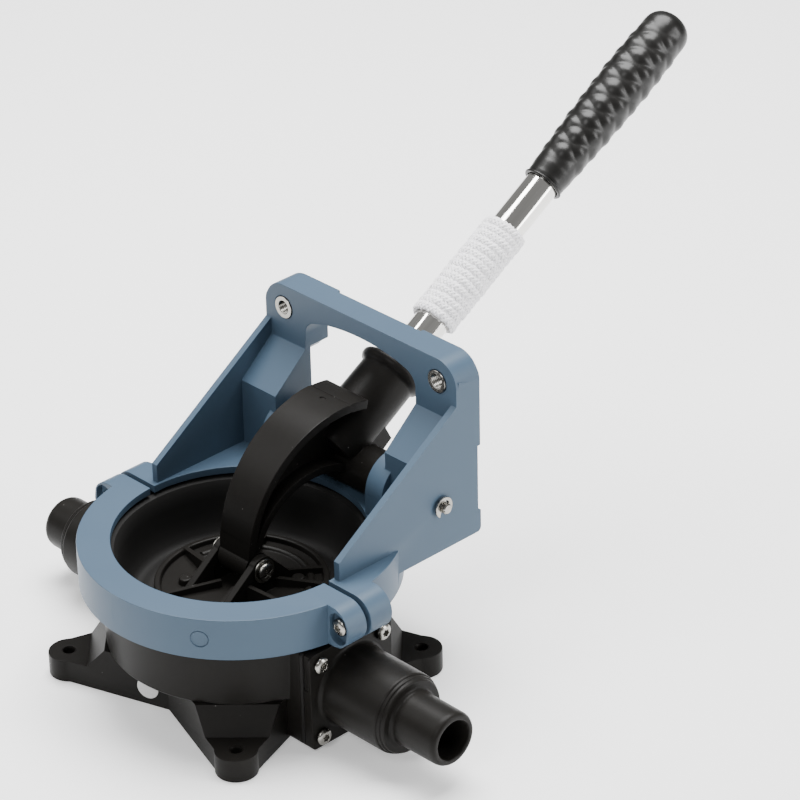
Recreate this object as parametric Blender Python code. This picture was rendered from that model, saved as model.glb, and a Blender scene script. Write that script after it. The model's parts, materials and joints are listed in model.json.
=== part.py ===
"""Hand-operated lever diaphragm bilge pump, modelled as an assembly of separate pieces.

The frame stands on its feet: +Z is up, +X runs along the hose ports, and +Y points to the
bulkhead behind the yoke. The origin is on the axis of the pump body, at its underside.
Shapes are drawn in millimetres and scaled to metres when each piece is finished.
"""
import math

import bmesh
import bpy
from mathutils import Matrix, Vector

MM = 0.001
GAP = 0.3  # air left between two pieces that touch
ROUND = 48  # sides of the large round shapes

# Pump body
DRUM_R_LOW = 61.5
DRUM_R_HIGH = 63.0
DRUM_Z = 21.5
FLANGE_R = 68.4
FLANGE_Z0 = 55.5
FLANGE_Z1 = 60.7
CHAMBER_R = 57.5
SUMP_R = 42.0
SUMP_Z = 6.0
STEP_Z = 25.0
FOOT_AT = 78.8
FOOT_TIP_R = 9.6
FOOT_Z = 11.0
FOOT_WAIST = 46.0
FOOT_HOLE_AT = 79.0
FOOT_HOLE_R = 2.5

# Clamp ring
RING_R = 72.0
RING_IN = 57.0
RING_Z0 = 52.0
RING_Z1 = 72.0
FRONT_SPLIT = -2.6
REAR_SPLIT = -0.2
EAR_X = 73.5
EAR_Z = 62.0
EAR_R = 10.0
EAR_Y = 12.5
EAR_FRONT = 13.6
EAR_POCKET = 10.3
CLAMP_SCREW_X = 76.2

# Hose ports
PORT_Z = 25.0
BLOCK_X = 63.2
PORT_FACE = 65.5
PORT_FLANGE = 70.0
PORT_HALF = 24.3
PORT_SCREW = 18.4
BIG_R = 19.0
BIG_END = 104.0
STEP_R = 18.1
STEP_END = 105.6
SHOULDER_R = 17.3
SHOULDER_END = 107.3
SMALL_R = 12.7
OUTLET_END = 132.8
INLET_END = 124.8
SMALL_BORE = 9.2
SWING_BORE = 15.3
SEAT_BORE = 11.0
FLAP_R = 13.3
FLAP_AXIS_Z = PORT_Z + 13.0

# Yoke
YOKE_X = 61.2
YOKE_WALL = 3.2
YOKE_Y0 = 74.5
YOKE_Y1 = 87.2
PAD_Y = 88.8
YOKE_TOP = 148.6
YOKE_FOOT = 60.0
CORNER_R = 12.0
OPEN_X = 35.4
OPEN_TOP = 140.0
WEB_Y = 55.2
WEB_Z0 = 103.8
WEB_Z1 = 121.5
INSERT_X = 49.2
INSERT_Z = 137.0
DECK_Z = 67.0
BOSS_R = 15.5
BOSS_X = 27.2

# Lever
PIVOT = (64.5, 83.0)
PIN_R = 3.0
HUB_R = 11.0
HUB_X = 26.6
LINK = (1.0, 57.5)
LINK_R = 6.8
LINK_BORE = 4.8
ARC_OUT = (54.0, 60.5, 57.8)
ARC_IN = (37.0, 54.0, 38.4)
TILT = math.radians(31.0)
OFFSET = 12.2
SOCKET_R = 14.0
SOCKET_END = 44.0
SOCKET_BORE = 8.3
SOCKET_FLOOR = 4.0

# Handle, measured along its axis from the point nearest the pivot
TUBE_R = 8.0
TUBE_IN = 6.8
TUBE_START = 4.5
TUBE_END = 236.0
WRAP_START = 71.0
WRAP_END = 129.5
WRAP_R = 10.6
GRIP_START = 156.0
GRIP_END = 258.0

# Diaphragm plates
PLATE_R = 39.0
PLATE_Z0 = 43.4
PLATE_Z1 = 45.8
RIM_Z = 48.4
LUG_IN = 9.9
LUG_OUT = 13.4
PLATE_SCREW_AT = 25.0
SWING_RATIO = 0.5


# ---------------------------------------------------------------- shape helpers

def clear_scene():
    for item in list(bpy.data.objects):
        bpy.data.objects.remove(item)


def material(name, colour, metallic, roughness):
    """A Principled material with the given colour, metallic value and roughness."""
    made = bpy.data.materials.new(name)
    made.use_nodes = True
    shader = made.node_tree.nodes["Principled BSDF"]
    shader.inputs["Base Color"].default_value = (*colour, 1.0)
    shader.inputs["Metallic"].default_value = metallic
    shader.inputs["Roughness"].default_value = roughness
    made.diffuse_color = (*colour, 1.0)
    return made


def solid(points, faces):
    """A closed mesh object from its points and faces, turned outward."""
    form = bmesh.new()
    made = [form.verts.new(p) for p in points]
    for face in faces:
        form.faces.new([made[i] for i in face])
    bmesh.ops.recalc_face_normals(form, faces=form.faces)
    mesh = bpy.data.meshes.new("form")
    form.to_mesh(mesh)
    form.free()
    item = bpy.data.objects.new("form", mesh)
    bpy.context.scene.collection.objects.link(item)
    return item


def place(axis, a, b, c):
    """Point with height c along the named axis and a, b across it."""
    if axis == "X":
        return (c, a, b)
    if axis == "Y":
        return (a, c, b)
    return (a, b, c)


def prism(outline, axis, low, high):
    """Straight extrusion of an outline: (y, z) along X, (x, z) along Y, (x, y) along Z."""
    count = len(outline)
    points = [place(axis, a, b, low) for a, b in outline]
    points += [place(axis, a, b, high) for a, b in outline]
    faces = [tuple(range(count)), tuple(range(2 * count - 1, count - 1, -1))]
    for i in range(count):
        j = (i + 1) % count
        faces.append((i, j, count + j, count + i))
    return solid(points, faces)


def box(x0, x1, y0, y1, z0, z1):
    return prism([(x0, y0), (x1, y0), (x1, y1), (x0, y1)], "Z", z0, z1)


def turned(profile, segments, frame=None):
    """Solid of revolution about Z from a closed (radius, height) outline, then placed."""
    points = []
    rows = []
    for radius, height in profile:
        if radius < 1e-6:
            rows.append([len(points)] * segments)
            points.append((0.0, 0.0, height))
            continue
        rows.append(list(range(len(points), len(points) + segments)))
        for k in range(segments):
            turn = 2.0 * math.pi * k / segments
            points.append((radius * math.cos(turn), radius * math.sin(turn), height))
    faces = []
    for i, row in enumerate(rows):
        after = rows[(i + 1) % len(rows)]
        for k in range(segments):
            m = (k + 1) % segments
            ring = []
            for index in (row[k], row[m], after[m], after[k]):
                if index not in ring:
                    ring.append(index)
            if len(ring) > 2:
                faces.append(ring)
    item = solid(points, faces)
    if frame is not None:
        item.data.transform(frame)
    return item


def frame_along(origin, direction):
    """Matrix that carries +Z onto a direction and the zero point onto an origin."""
    turn = Vector((0.0, 0.0, 1.0)).rotation_difference(Vector(direction)).to_matrix()
    return Matrix.Translation(Vector(origin)) @ turn.to_4x4()


def rod(origin, direction, radius, low, high, segments=32):
    """Plain cylinder from low to high along a direction."""
    outline = [(0.0, low), (radius, low), (radius, high), (0.0, high)]
    return turned(outline, segments, frame_along(origin, direction))


def combine(target, tool, operation):
    """Boolean of two closed solids; the tool is used up."""
    change = target.modifiers.new("Boolean", "BOOLEAN")
    change.operation = operation
    change.solver = "EXACT"
    change.object = tool
    graph = bpy.context.evaluated_depsgraph_get()
    mesh = bpy.data.meshes.new_from_object(target.evaluated_get(graph))
    target.modifiers.clear()
    target.data = mesh
    bpy.data.objects.remove(tool)
    return target


def join(target, *tools):
    for tool in tools:
        combine(target, tool, "UNION")
    return target


def cut(target, *tools):
    for tool in tools:
        combine(target, tool, "DIFFERENCE")
    return target


def arc(centre, radius, start, end, steps):
    """Points on a circle between two angles in degrees."""
    points = []
    for k in range(steps + 1):
        turn = math.radians(start + (end - start) * k / steps)
        points.append((centre[0] + radius * math.cos(turn), centre[1] + radius * math.sin(turn)))
    return points


def rounded_rectangle(x0, x1, y0, y1, radius, steps=4):
    points = arc((x1 - radius, y1 - radius), radius, 0, 90, steps)
    points += arc((x0 + radius, y1 - radius), radius, 90, 180, steps)
    points += arc((x0 + radius, y0 + radius), radius, 180, 270, steps)
    points += arc((x1 - radius, y0 + radius), radius, 270, 360, steps)
    return points


def finish(item, name, skin, origin=(0.0, 0.0, 0.0), parent=None):
    """Clean the mesh, scale it to metres, and give it its name, origin, material and parent."""
    form = bmesh.new()
    form.from_mesh(item.data)
    bmesh.ops.remove_doubles(form, verts=form.verts, dist=0.0005)
    bmesh.ops.dissolve_degenerate(form, edges=form.edges, dist=0.0005)
    limit = math.radians(0.05)
    bmesh.ops.dissolve_limit(form, angle_limit=limit, verts=form.verts, edges=form.edges)
    bmesh.ops.triangulate(form, faces=[f for f in form.faces if len(f.verts) > 4])
    form.to_mesh(item.data)
    form.free()
    item.data.transform(Matrix.Translation(-Vector(origin)))
    item.data.transform(Matrix.Scale(MM, 4))
    item.name = name
    item.data.name = name
    item.location = Vector(origin) * MM
    item.data.materials.clear()
    item.data.materials.append(skin)
    item.data.shade_smooth()
    item.data.set_sharp_from_angle(angle=math.radians(35))
    if parent is not None:
        item.parent = parent
        item.matrix_parent_inverse = parent.matrix_world.inverted()
    return item


def joint_empty(name, origin):
    """Empty on a joint's axis, which carries the pieces that move with it."""
    empty = bpy.data.objects.new(name, None)
    empty.empty_display_size = 0.01
    empty.location = Vector(origin) * MM
    bpy.context.scene.collection.objects.link(empty)
    bpy.context.view_layer.update()
    return empty


# ---------------------------------------------------------------- handle axis

def handle_direction():
    return Vector((0.0, math.cos(TILT), math.sin(TILT)))


def handle_frame():
    """Frame of the socket and the handle, with its zero at the point nearest the pivot."""
    along = handle_direction()
    across = Vector((0.0, -math.sin(TILT), math.cos(TILT)))
    origin = Vector((0.0, PIVOT[0], PIVOT[1])) + across * OFFSET
    return Matrix((
        (1.0, 0.0, 0.0, origin.x),
        (0.0, across.y, along.y, origin.y),
        (0.0, across.z, along.z, origin.z),
        (0.0, 0.0, 0.0, 1.0),
    )) @ Matrix.Scale(-1.0, 4, Vector((1.0, 0.0, 0.0)))


# ---------------------------------------------------------------- pump body

def foot_direction(index):
    turn = math.radians(45 + 90 * index)
    return math.cos(turn), math.sin(turn)


def star_outline():
    """Plan of the base: four pointed feet with round tips, waisted between them."""
    half = math.degrees(math.atan2(FOOT_AT * math.sin(math.radians(45)),
                                   FOOT_AT * math.cos(math.radians(45)) - FOOT_WAIST))
    points = []
    for index in range(4):
        along = 45 + 90 * index
        cx = FOOT_AT * math.cos(math.radians(along))
        cy = FOOT_AT * math.sin(math.radians(along))
        points += arc((cx, cy), FOOT_TIP_R, along - half - 12, along + half + 12, 6)
        waist = math.radians(along + 45)
        points.append((FOOT_WAIST * math.cos(waist), FOOT_WAIST * math.sin(waist)))
    return points


def foot_ramp(index):
    """Tool that slopes a foot down from the drum and leaves its flat pad."""
    dx, dy = foot_direction(index)
    outline = [(FOOT_AT + 30, FOOT_Z), (70.0, FOOT_Z), (60.5, DRUM_Z + 1.5), (60.5, 40.0),
               (FOOT_AT + 30, 40.0)]
    item = prism(outline, "Y", -30.0, 30.0)
    item.data.transform(Matrix.Rotation(math.atan2(dy, dx), 4, "Z"))
    return item


def make_pump_body(skin):
    body = prism(star_outline(), "Z", 0.0, DRUM_Z + 0.6)
    for index in range(4):
        cut(body, foot_ramp(index))
    join(body, turned([
        (0.0, 3.0), (40.0, 3.0), (40.0, DRUM_Z), (DRUM_R_LOW - 1.0, DRUM_Z),
        (DRUM_R_LOW, DRUM_Z + 1.0), (DRUM_R_HIGH, FLANGE_Z0), (FLANGE_R, FLANGE_Z0),
        (FLANGE_R, FLANGE_Z1), (0.0, FLANGE_Z1),
    ], ROUND))
    for side in (-1, 1):
        low, high = sorted((side * 38.0, side * BLOCK_X))
        block = rounded_rectangle(-PORT_HALF, PORT_HALF, 0.9, PORT_Z + PORT_HALF, 2.5)
        join(body, prism(block, "X", low, high))
    cut(body, turned([
        (0.0, SUMP_Z), (SUMP_R - 3.0, SUMP_Z), (SUMP_R, SUMP_Z + 3.0), (SUMP_R, STEP_Z),
        (CHAMBER_R - 2.0, STEP_Z), (CHAMBER_R, STEP_Z + 2.0), (CHAMBER_R, 70.0), (0.0, 70.0),
    ], ROUND))
    cut(body, rod((0, 0, PORT_Z), (1, 0, 0), SEAT_BORE, 36.0, BLOCK_X + 5, 24))
    cut(body, rod((0, 0, PORT_Z), (-1, 0, 0), SWING_BORE, 36.0, BLOCK_X + 5, 24))
    for index in range(4):
        dx, dy = foot_direction(index)
        at = (dx * FOOT_HOLE_AT, dy * FOOT_HOLE_AT, 0.0)
        cut(body, turned([
            (0.0, -2.0), (FOOT_HOLE_R, -2.0), (FOOT_HOLE_R, FOOT_Z - 1.6),
            (FOOT_HOLE_R + 1.1, FOOT_Z - 0.5), (FOOT_HOLE_R + 1.1, FOOT_Z + 8.0),
            (0.0, FOOT_Z + 8.0),
        ], 12, Matrix.Translation(at)))
    for side in (-1, 1):
        for dy in (-1, 1):
            for dz in (-1, 1):
                at = (0, dy * PORT_SCREW, PORT_Z + dz * PORT_SCREW)
                cut(body, rod(at, (side, 0, 0), 2.0, BLOCK_X - 6.5, BLOCK_X + 5, 8))
    return finish(body, "pump_body", skin)


# ---------------------------------------------------------------- clamp ring

def ring_section():
    """Channel section that grips the body flange and the diaphragm bead."""
    return [
        (RING_IN, FLANGE_Z1 + 7.7), (RING_IN, RING_Z1 - 0.6), (RING_IN + 0.6, RING_Z1),
        (RING_R - 1.2, RING_Z1), (RING_R, RING_Z1 - 1.2), (RING_R, RING_Z0 + 0.8),
        (RING_R - 0.8, RING_Z0), (64.0, RING_Z0), (64.0, FLANGE_Z0 - GAP),
        (FLANGE_R + 0.5, FLANGE_Z0 - GAP), (FLANGE_R + 0.5, FLANGE_Z1 + 7.7),
    ]


def ear(side, y0, y1):
    """Round lug that carries one clamp screw, flush with the top of the ring."""
    start, end = (90, -90) if side > 0 else (90, 270)
    outline = [(side * 69.2, EAR_Z + EAR_R)]
    outline += arc((side * EAR_X, EAR_Z), EAR_R, start, end, 10)
    outline += [(side * 69.2, EAR_Z - EAR_R)]
    return prism(outline, "Y", y0, y1)


def half_ring(front):
    """One half of the clamp ring, cut on the joint plane."""
    ring = turned(ring_section(), ROUND)
    if front:
        cut(ring, box(-90, 90, FRONT_SPLIT, 90, 40, 90))
    else:
        cut(ring, box(-90, 90, -90, REAR_SPLIT, 40, 90))
    return ring


def make_clamp_ring_front(skin):
    ring = half_ring(True)
    for side in (-1, 1):
        join(ring, ear(side, -EAR_FRONT, FRONT_SPLIT))
        at = (side * CLAMP_SCREW_X, 0, EAR_Z)
        cut(ring, rod(at, (0, 1, 0), 2.5, -30.0, 10.0, 16))
        low, high = sorted((side * 71.5, side * 82.0))
        pocket = rounded_rectangle(low, high, EAR_Z - 7.6, EAR_Z + 7.6, 4.6, 3)
        cut(ring, prism(pocket, "Y", -EAR_FRONT - 5.0, -EAR_POCKET))
    return finish(ring, "clamp_ring_front", skin)


# ---------------------------------------------------------------- yoke

def side_plate_outline():
    return [
        (2.6, RING_Z1 - 3.0), (2.6, 81.0), (YOKE_Y0 + 1.5, 129.6), (YOKE_Y0 + 1.5, 140.0),
        (YOKE_Y1, 136.0), (YOKE_Y1, YOKE_FOOT + 2.0), (YOKE_Y1 - 2.0, YOKE_FOOT),
        (38.0, YOKE_FOOT), (30.0, RING_Z1 - 6.0), (24.0, RING_Z1 - 3.0),
    ]


def portal_outline(inset=0.0):
    """Front of the portal: square at the foot and round at its two upper corners."""
    edge = YOKE_X - inset
    top = YOKE_TOP - inset
    radius = CORNER_R - inset
    points = [(-edge, YOKE_FOOT), (edge, YOKE_FOOT)]
    points += arc((edge - radius, top - radius), radius, 0, 90, 6)
    points += arc((radius - edge, top - radius), radius, 90, 180, 6)
    return points


def opening_outline():
    """Arched window through the portal."""
    points = [(-OPEN_X, RING_Z1), (OPEN_X, RING_Z1)]
    points += arc((OPEN_X - 8.0, 128.0), 8.0, 0, 70, 5)
    for k in range(7):
        across = 24.0 - 8.0 * k
        points.append((across, OPEN_TOP - 4.0 * (across / 30.0) ** 2))
    points += arc((8.0 - OPEN_X, 128.0), 8.0, 110, 180, 5)
    return points


def corner_pad(side):
    """Boss behind an upper corner that holds the threaded insert and meets the bulkhead."""
    radius = CORNER_R
    edge = side * (YOKE_X - radius)
    if side > 0:
        rounding = arc((edge, YOKE_TOP - radius), radius, 0, 90, 6)
    else:
        rounding = arc((edge, YOKE_TOP - radius), radius, 180, 90, 6)
    points = [(side * YOKE_X, 104.0)] + rounding
    points += [(side * 26.5, YOKE_TOP), (side * 26.5, 138.6), (side * 33.5, 137.4)]
    if side > 0:
        points += arc((22.0, 99.0), 26.0, 64, 10, 6)
    else:
        points += arc((-22.0, 99.0), 26.0, 116, 170, 6)
    return prism(points, "Y", YOKE_Y0 + 1.0, PAD_Y)


def make_yoke(skin):
    """Rear half of the clamp ring with the portal, its gussets and the pivot bosses."""
    yoke = half_ring(False)
    deck = prism([(-YOKE_X, 22.0), (YOKE_X, 22.0), (YOKE_X, YOKE_Y1), (-YOKE_X, YOKE_Y1)],
                 "Z", DECK_Z, RING_Z1)
    cut(deck, rod((0, 0, 0), (0, 0, 1), RING_IN + 6.0, 50.0, 90.0, ROUND))
    join(yoke, deck)
    portal = prism(portal_outline(), "Y", YOKE_Y0, YOKE_Y1)
    cut(portal, prism(portal_outline(YOKE_WALL), "Y", YOKE_Y0 + 3.0, YOKE_Y1 + 4.0))
    join(yoke, portal)
    for side in (-1, 1):
        low, high = sorted((side * (YOKE_X - YOKE_WALL), side * YOKE_X))
        join(yoke, prism(side_plate_outline(), "X", low, high))
        low, high = sorted((side * OPEN_X, side * (YOKE_X - 1.0)))
        web = prism([(WEB_Y, RING_Z1 - 2.0), (WEB_Y, WEB_Z0), (YOKE_Y0 + 1.0, WEB_Z1),
                     (YOKE_Y0 + 3.0, WEB_Z1), (YOKE_Y0 + 3.0, RING_Z1 - 2.0)], "X", low, high)
        join(yoke, web)
        join(yoke, corner_pad(side))
        low, high = sorted((side * (OPEN_X + 3.0), side * (YOKE_X - YOKE_WALL)))
        hollow = prism([(WEB_Y + 3.2, RING_Z1), (WEB_Y + 3.2, WEB_Z0 - 1.6),
                        (YOKE_Y0 - 3.0, WEB_Z1 - 6.0), (YOKE_Y1 + 5, WEB_Z1 - 6.0),
                        (YOKE_Y1 + 5, RING_Z1)], "X", low, high)
        cut(yoke, hollow)
        low, high = sorted((side * 44.0, side * YOKE_X))
        join(yoke, box(low, high, YOKE_Y1 - 5.0, PAD_Y, YOKE_FOOT, 71.0))
        join(yoke, ear(side, REAR_SPLIT, EAR_Y))
    cut(yoke, prism(opening_outline(), "Y", WEB_Y - 5.0, PAD_Y + 5.0))
    cut(yoke, turned([
        (0.0, 40.0), (64.0, 40.0), (64.0, FLANGE_Z0 - GAP), (FLANGE_R + 0.5, FLANGE_Z0 - GAP),
        (FLANGE_R + 0.5, FLANGE_Z1 + 7.7), (RING_IN, FLANGE_Z1 + 7.7), (RING_IN, RING_Z1 + 1.0),
        (0.0, RING_Z1 + 1.0),
    ], ROUND))
    for side in (-1, 1):
        pillar = [(PIVOT[0] + BOSS_R, RING_Z1 - 2.0)] + arc(PIVOT, BOSS_R, 0, 180, 14)
        pillar += [(PIVOT[0] - BOSS_R, RING_Z1 - 2.0)]
        low, high = sorted((side * (BOSS_X + 1.5), side * (OPEN_X + 4.0)))
        join(yoke, prism(pillar, "X", low, high))
        boss = rod((0, PIVOT[0], PIVOT[1]), (side, 0, 0), 8.0, OPEN_X, YOKE_X - 1.0, 24)
        journal = rod((0, PIVOT[0], PIVOT[1]), (side, 0, 0), HUB_R, BOSS_X, BOSS_X + 6.0, 28)
        join(yoke, boss, journal)
    cut(yoke, rod((0, PIVOT[0], PIVOT[1]), (1, 0, 0), PIN_R + GAP, -80.0, 80.0, 20))
    for side in (-1, 1):
        at = (side * CLAMP_SCREW_X, 0, EAR_Z)
        cut(yoke, rod(at, (0, 1, 0), 2.5, -10.0, 30.0, 16))
        cut(yoke, rod(at, (0, 1, 0), 4.9, 8.0, 30.0, 6))
        at = (side * INSERT_X, 0, INSERT_Z)
        cut(yoke, rod(at, (0, 1, 0), 4.8, YOKE_Y0 - 5, PAD_Y + 5, 16))
        cut(yoke, rod(at, (0, 1, 0), 5.7, YOKE_Y0 - 5, YOKE_Y0 + 0.8, 16))
    return finish(yoke, "yoke_frame", skin)


# ---------------------------------------------------------------- fasteners

def pan_screw(origin, direction, head_r, head_h, shank_r, length, segments=8):
    """Pan-head screw: the head stands along the direction, the shank runs against it."""
    profile = [
        (0.0, -length), (shank_r, -length), (shank_r, 0.0), (head_r, 0.0),
        (head_r, head_h * 0.4), (head_r * 0.7, head_h * 0.9), (0.0, head_h),
    ]
    return turned(profile, segments, frame_along(origin, direction))


def make_clamp_fasteners(steel):
    for side, label in ((-1, "left"), (1, "right")):
        at = (side * CLAMP_SCREW_X, -EAR_POCKET - GAP, EAR_Z)
        screw = pan_screw(at, (0, -1, 0), 4.0, 2.6, 2.0, 22.7)
        finish(screw, "clamp_screw_" + label, steel)
        at = (side * CLAMP_SCREW_X, 0, EAR_Z)
        nut = turned([(2.4, 8.3), (4.5, 8.3), (4.5, 11.8), (2.4, 11.8)], 6,
                     frame_along(at, (0, 1, 0)))
        finish(nut, "clamp_nut_" + label, steel)


def make_inserts(steel):
    for side, label in ((-1, "left"), (1, "right")):
        at = (side * INSERT_X, 0, INSERT_Z)
        profile = [(3.1, YOKE_Y0 - 0.2), (5.3, YOKE_Y0 - 0.2), (5.3, YOKE_Y0 + 0.5),
                   (4.5, YOKE_Y0 + 0.5), (4.5, YOKE_Y1), (3.1, YOKE_Y1)]
        insert = turned(profile, 16, frame_along(at, (0, 1, 0)))
        finish(insert, "thread_insert_" + label, steel)


def make_pivot_pin(steel):
    end = YOKE_X + 4.2
    profile = [
        (0.0, -end), (2.1, -end), (2.5, -end + 0.5), (2.5, -YOKE_X - 2.0), (2.0, -YOKE_X - 2.0),
        (2.0, -YOKE_X - 0.8), (PIN_R, -YOKE_X - 0.4), (PIN_R, YOKE_X + 0.4),
        (2.0, YOKE_X + 0.8), (2.0, YOKE_X + 2.0), (2.5, YOKE_X + 2.0), (2.5, end - 0.5),
        (2.1, end), (0.0, end),
    ]
    pin = turned(profile, 20, frame_along((0, PIVOT[0], PIVOT[1]), (1, 0, 0)))
    finish(pin, "pivot_pin", steel, origin=(0, PIVOT[0], PIVOT[1]))


def make_pivot_clips(steel):
    """E-clips that keep the pivot pin in the yoke."""
    for side, label in ((-1, "left"), (1, "right")):
        at = (0, PIVOT[0], PIVOT[1])
        low, high = YOKE_X + 0.95, YOKE_X + 1.85
        profile = [(2.3, low), (5.0, low), (5.0, high), (2.3, high)]
        clip = turned(profile, 24, frame_along(at, (side, 0, 0)))
        slot_low, slot_high = sorted((side * (low - 1), side * (high + 1)))
        cut(clip, box(slot_low, slot_high, PIVOT[0] - 1.6, PIVOT[0] + 1.6,
                      PIVOT[1] - 8.0, PIVOT[1] - 0.5))
        finish(clip, "pivot_clip_" + label, steel)


# ---------------------------------------------------------------- ports and valves

def make_port(side, name, end, bore, skin):
    """Flanged hose tail with a large and a small hose diameter."""
    flange = rounded_rectangle(-PORT_HALF, PORT_HALF, 0.9, PORT_Z + PORT_HALF, 2.5)
    low, high = sorted((side * PORT_FACE, side * PORT_FLANGE))
    port = prism(flange, "X", low, high)
    frame = frame_along((0, 0, PORT_Z), (side, 0, 0))
    join(port, turned([
        (0.0, PORT_FACE + 1.0), (BIG_R, PORT_FACE + 1.0), (BIG_R, BIG_END - 1.4),
        (BIG_R - 0.7, BIG_END), (STEP_R, BIG_END), (STEP_R, STEP_END), (SHOULDER_R, STEP_END),
        (SHOULDER_R, SHOULDER_END - 0.8), (SHOULDER_R - 0.8, SHOULDER_END),
        (SMALL_R + 1.8, SHOULDER_END), (SMALL_R, SHOULDER_END + 1.8),
        (SMALL_R, end - 2.2), (SMALL_R - 1.5, end), (0.0, end),
    ], 32, frame))
    cut(port, turned([
        (0.0, PORT_FACE - 5.0), (bore, PORT_FACE - 5.0), (bore, 96.0), (SMALL_BORE, 101.0),
        (SMALL_BORE, end + 5.0), (0.0, end + 5.0),
    ], 20, frame))
    for dy in (-1, 1):
        for dz in (-1, 1):
            at = (0, dy * PORT_SCREW, PORT_Z + dz * PORT_SCREW)
            cut(port, rod(at, (side, 0, 0), 2.2, PORT_FACE - 5, PORT_FLANGE + 5, 8))
    return finish(port, name, skin)


def make_gasket(side, name, rubber):
    """Square rubber seal between the body and a port flange."""
    outline = rounded_rectangle(-PORT_HALF, PORT_HALF, 0.9, PORT_Z + PORT_HALF, 2.5)
    low, high = sorted((side * (BLOCK_X + GAP), side * (PORT_FACE - GAP)))
    seal = prism(outline, "X", low, high)
    cut(seal, rod((0, 0, PORT_Z), (side, 0, 0), SWING_BORE, 50.0, 80.0, 24))
    for dy in (-1, 1):
        for dz in (-1, 1):
            at = (0, dy * PORT_SCREW, PORT_Z + dz * PORT_SCREW)
            cut(seal, rod(at, (side, 0, 0), 2.2, 50.0, 80.0, 8))
    return finish(seal, name, rubber)


def make_flap(side, name, rubber):
    """Round flap valve that hangs from its upper edge."""
    low, high = BLOCK_X + GAP, PORT_FACE - GAP
    middle = side * (low + high) / 2
    flap = rod((0, 0, PORT_Z), (side, 0, 0), FLAP_R, low, high, 24)
    hinge = joint_empty(name + "_axis", (middle, 0, FLAP_AXIS_Z))
    return finish(flap, name, rubber, origin=(middle, 0, FLAP_AXIS_Z), parent=hinge)


def make_port_screws(side, label, steel):
    number = 0
    for dz in (1, -1):
        for dy in (-1, 1):
            number += 1
            at = (side * (PORT_FLANGE + GAP), dy * PORT_SCREW, PORT_Z + dz * PORT_SCREW)
            screw = pan_screw(at, (side, 0, 0), 3.9, 2.6, 1.6, 12.0)
            finish(screw, "%s_screw_%d" % (label, number), steel)


# ---------------------------------------------------------------- lever

def strip(centre, outer, inner, start, end, wide_start, wide_end, steps):
    """Curved flange in the plane of the lever whose width tapers along its length."""
    points = []
    for k in range(steps + 1):
        share = k / steps
        turn = math.radians(start + (end - start) * share)
        half = wide_start + (wide_end - wide_start) * share
        for radius in (inner, outer):
            y = centre[0] + radius * math.cos(turn)
            z = centre[1] + radius * math.sin(turn)
            points += [(-half, y, z), (half, y, z)]
    faces = [(0, 1, 3, 2)]
    for k in range(steps):
        a, b = 4 * k, 4 * k + 4
        faces += [(a, a + 1, b + 1, b), (a + 2, a + 3, b + 3, b + 2),
                  (a, a + 2, b + 2, b), (a + 1, a + 3, b + 3, b + 1)]
    last = 4 * steps
    faces.append((last, last + 1, last + 3, last + 2))
    return solid(points, faces)


def make_lever(skin, parent):
    """Curved lever with its hub, its link boss and the socket for the handle."""
    oy, oz, orad = ARC_OUT
    iy, iz, irad = ARC_IN
    outline = arc((oy, oz), orad - 2.0, 178, 80, 14)
    outline += [(78.0, 108.0), (80.5, 92.0), (72.5, 84.0), (66.0, 76.5)]
    outline += arc((iy, iz), irad - 2.0, 40, 172, 12)
    lever = prism(outline, "X", -3.2, 3.2)
    join(lever, strip((oy, oz), orad, orad - 4.2, 183, 77, 9.2, 13.4, 18))
    join(lever, strip((iy, iz), irad, irad - 3.8, 172, 34, 8.8, 12.0, 14))
    join(lever, prism([(58.0, 98.0), (77.0, 99.0), (81.2, 91.0), (73.0, 85.0), (62.0, 80.0)],
                      "X", -12.6, 12.6))
    join(lever, rod((0, PIVOT[0], PIVOT[1]), (1, 0, 0), HUB_R, -HUB_X, HUB_X, 28))
    join(lever, rod((0, LINK[0], LINK[1]), (1, 0, 0), LINK_R, -9.2, 9.2, 20))
    frame = handle_frame()
    join(lever, turned([
        (0.0, -4.0), (12.4, -4.0), (SOCKET_R, 0.0), (SOCKET_R - 0.4, SOCKET_END - 6.0),
        (SOCKET_R + 1.5, SOCKET_END - 4.4), (SOCKET_R + 1.9, SOCKET_END - 2.0),
        (SOCKET_R + 1.0, SOCKET_END - 0.4), (SOCKET_R - 1.0, SOCKET_END), (0.0, SOCKET_END),
    ], 28, frame))
    cut(lever, turned([(0.0, SOCKET_FLOOR), (SOCKET_BORE, SOCKET_FLOOR),
                       (SOCKET_BORE, SOCKET_END - 1.0), (SOCKET_BORE + 1.2, SOCKET_END + 2.0),
                       (0.0, SOCKET_END + 2.0)], 20, frame))
    cut(lever, rod((0, PIVOT[0], PIVOT[1]), (1, 0, 0), PIN_R + GAP, -40.0, 40.0, 16))
    cut(lever, rod((0, LINK[0], LINK[1]), (1, 0, 0), LINK_BORE, -40.0, 40.0, 16))
    return finish(lever, "lever_arm", skin, origin=(0, PIVOT[0], PIVOT[1]), parent=parent)


# ---------------------------------------------------------------- diaphragm and plates

def swing_centre():
    """Point about which the plates swing, so that their link point starts along the lever's."""
    y = LINK[0] + (PIVOT[0] - LINK[0]) / SWING_RATIO
    z = LINK[1] + (PIVOT[1] - LINK[1]) / SWING_RATIO
    return (0.0, y, z)


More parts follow.
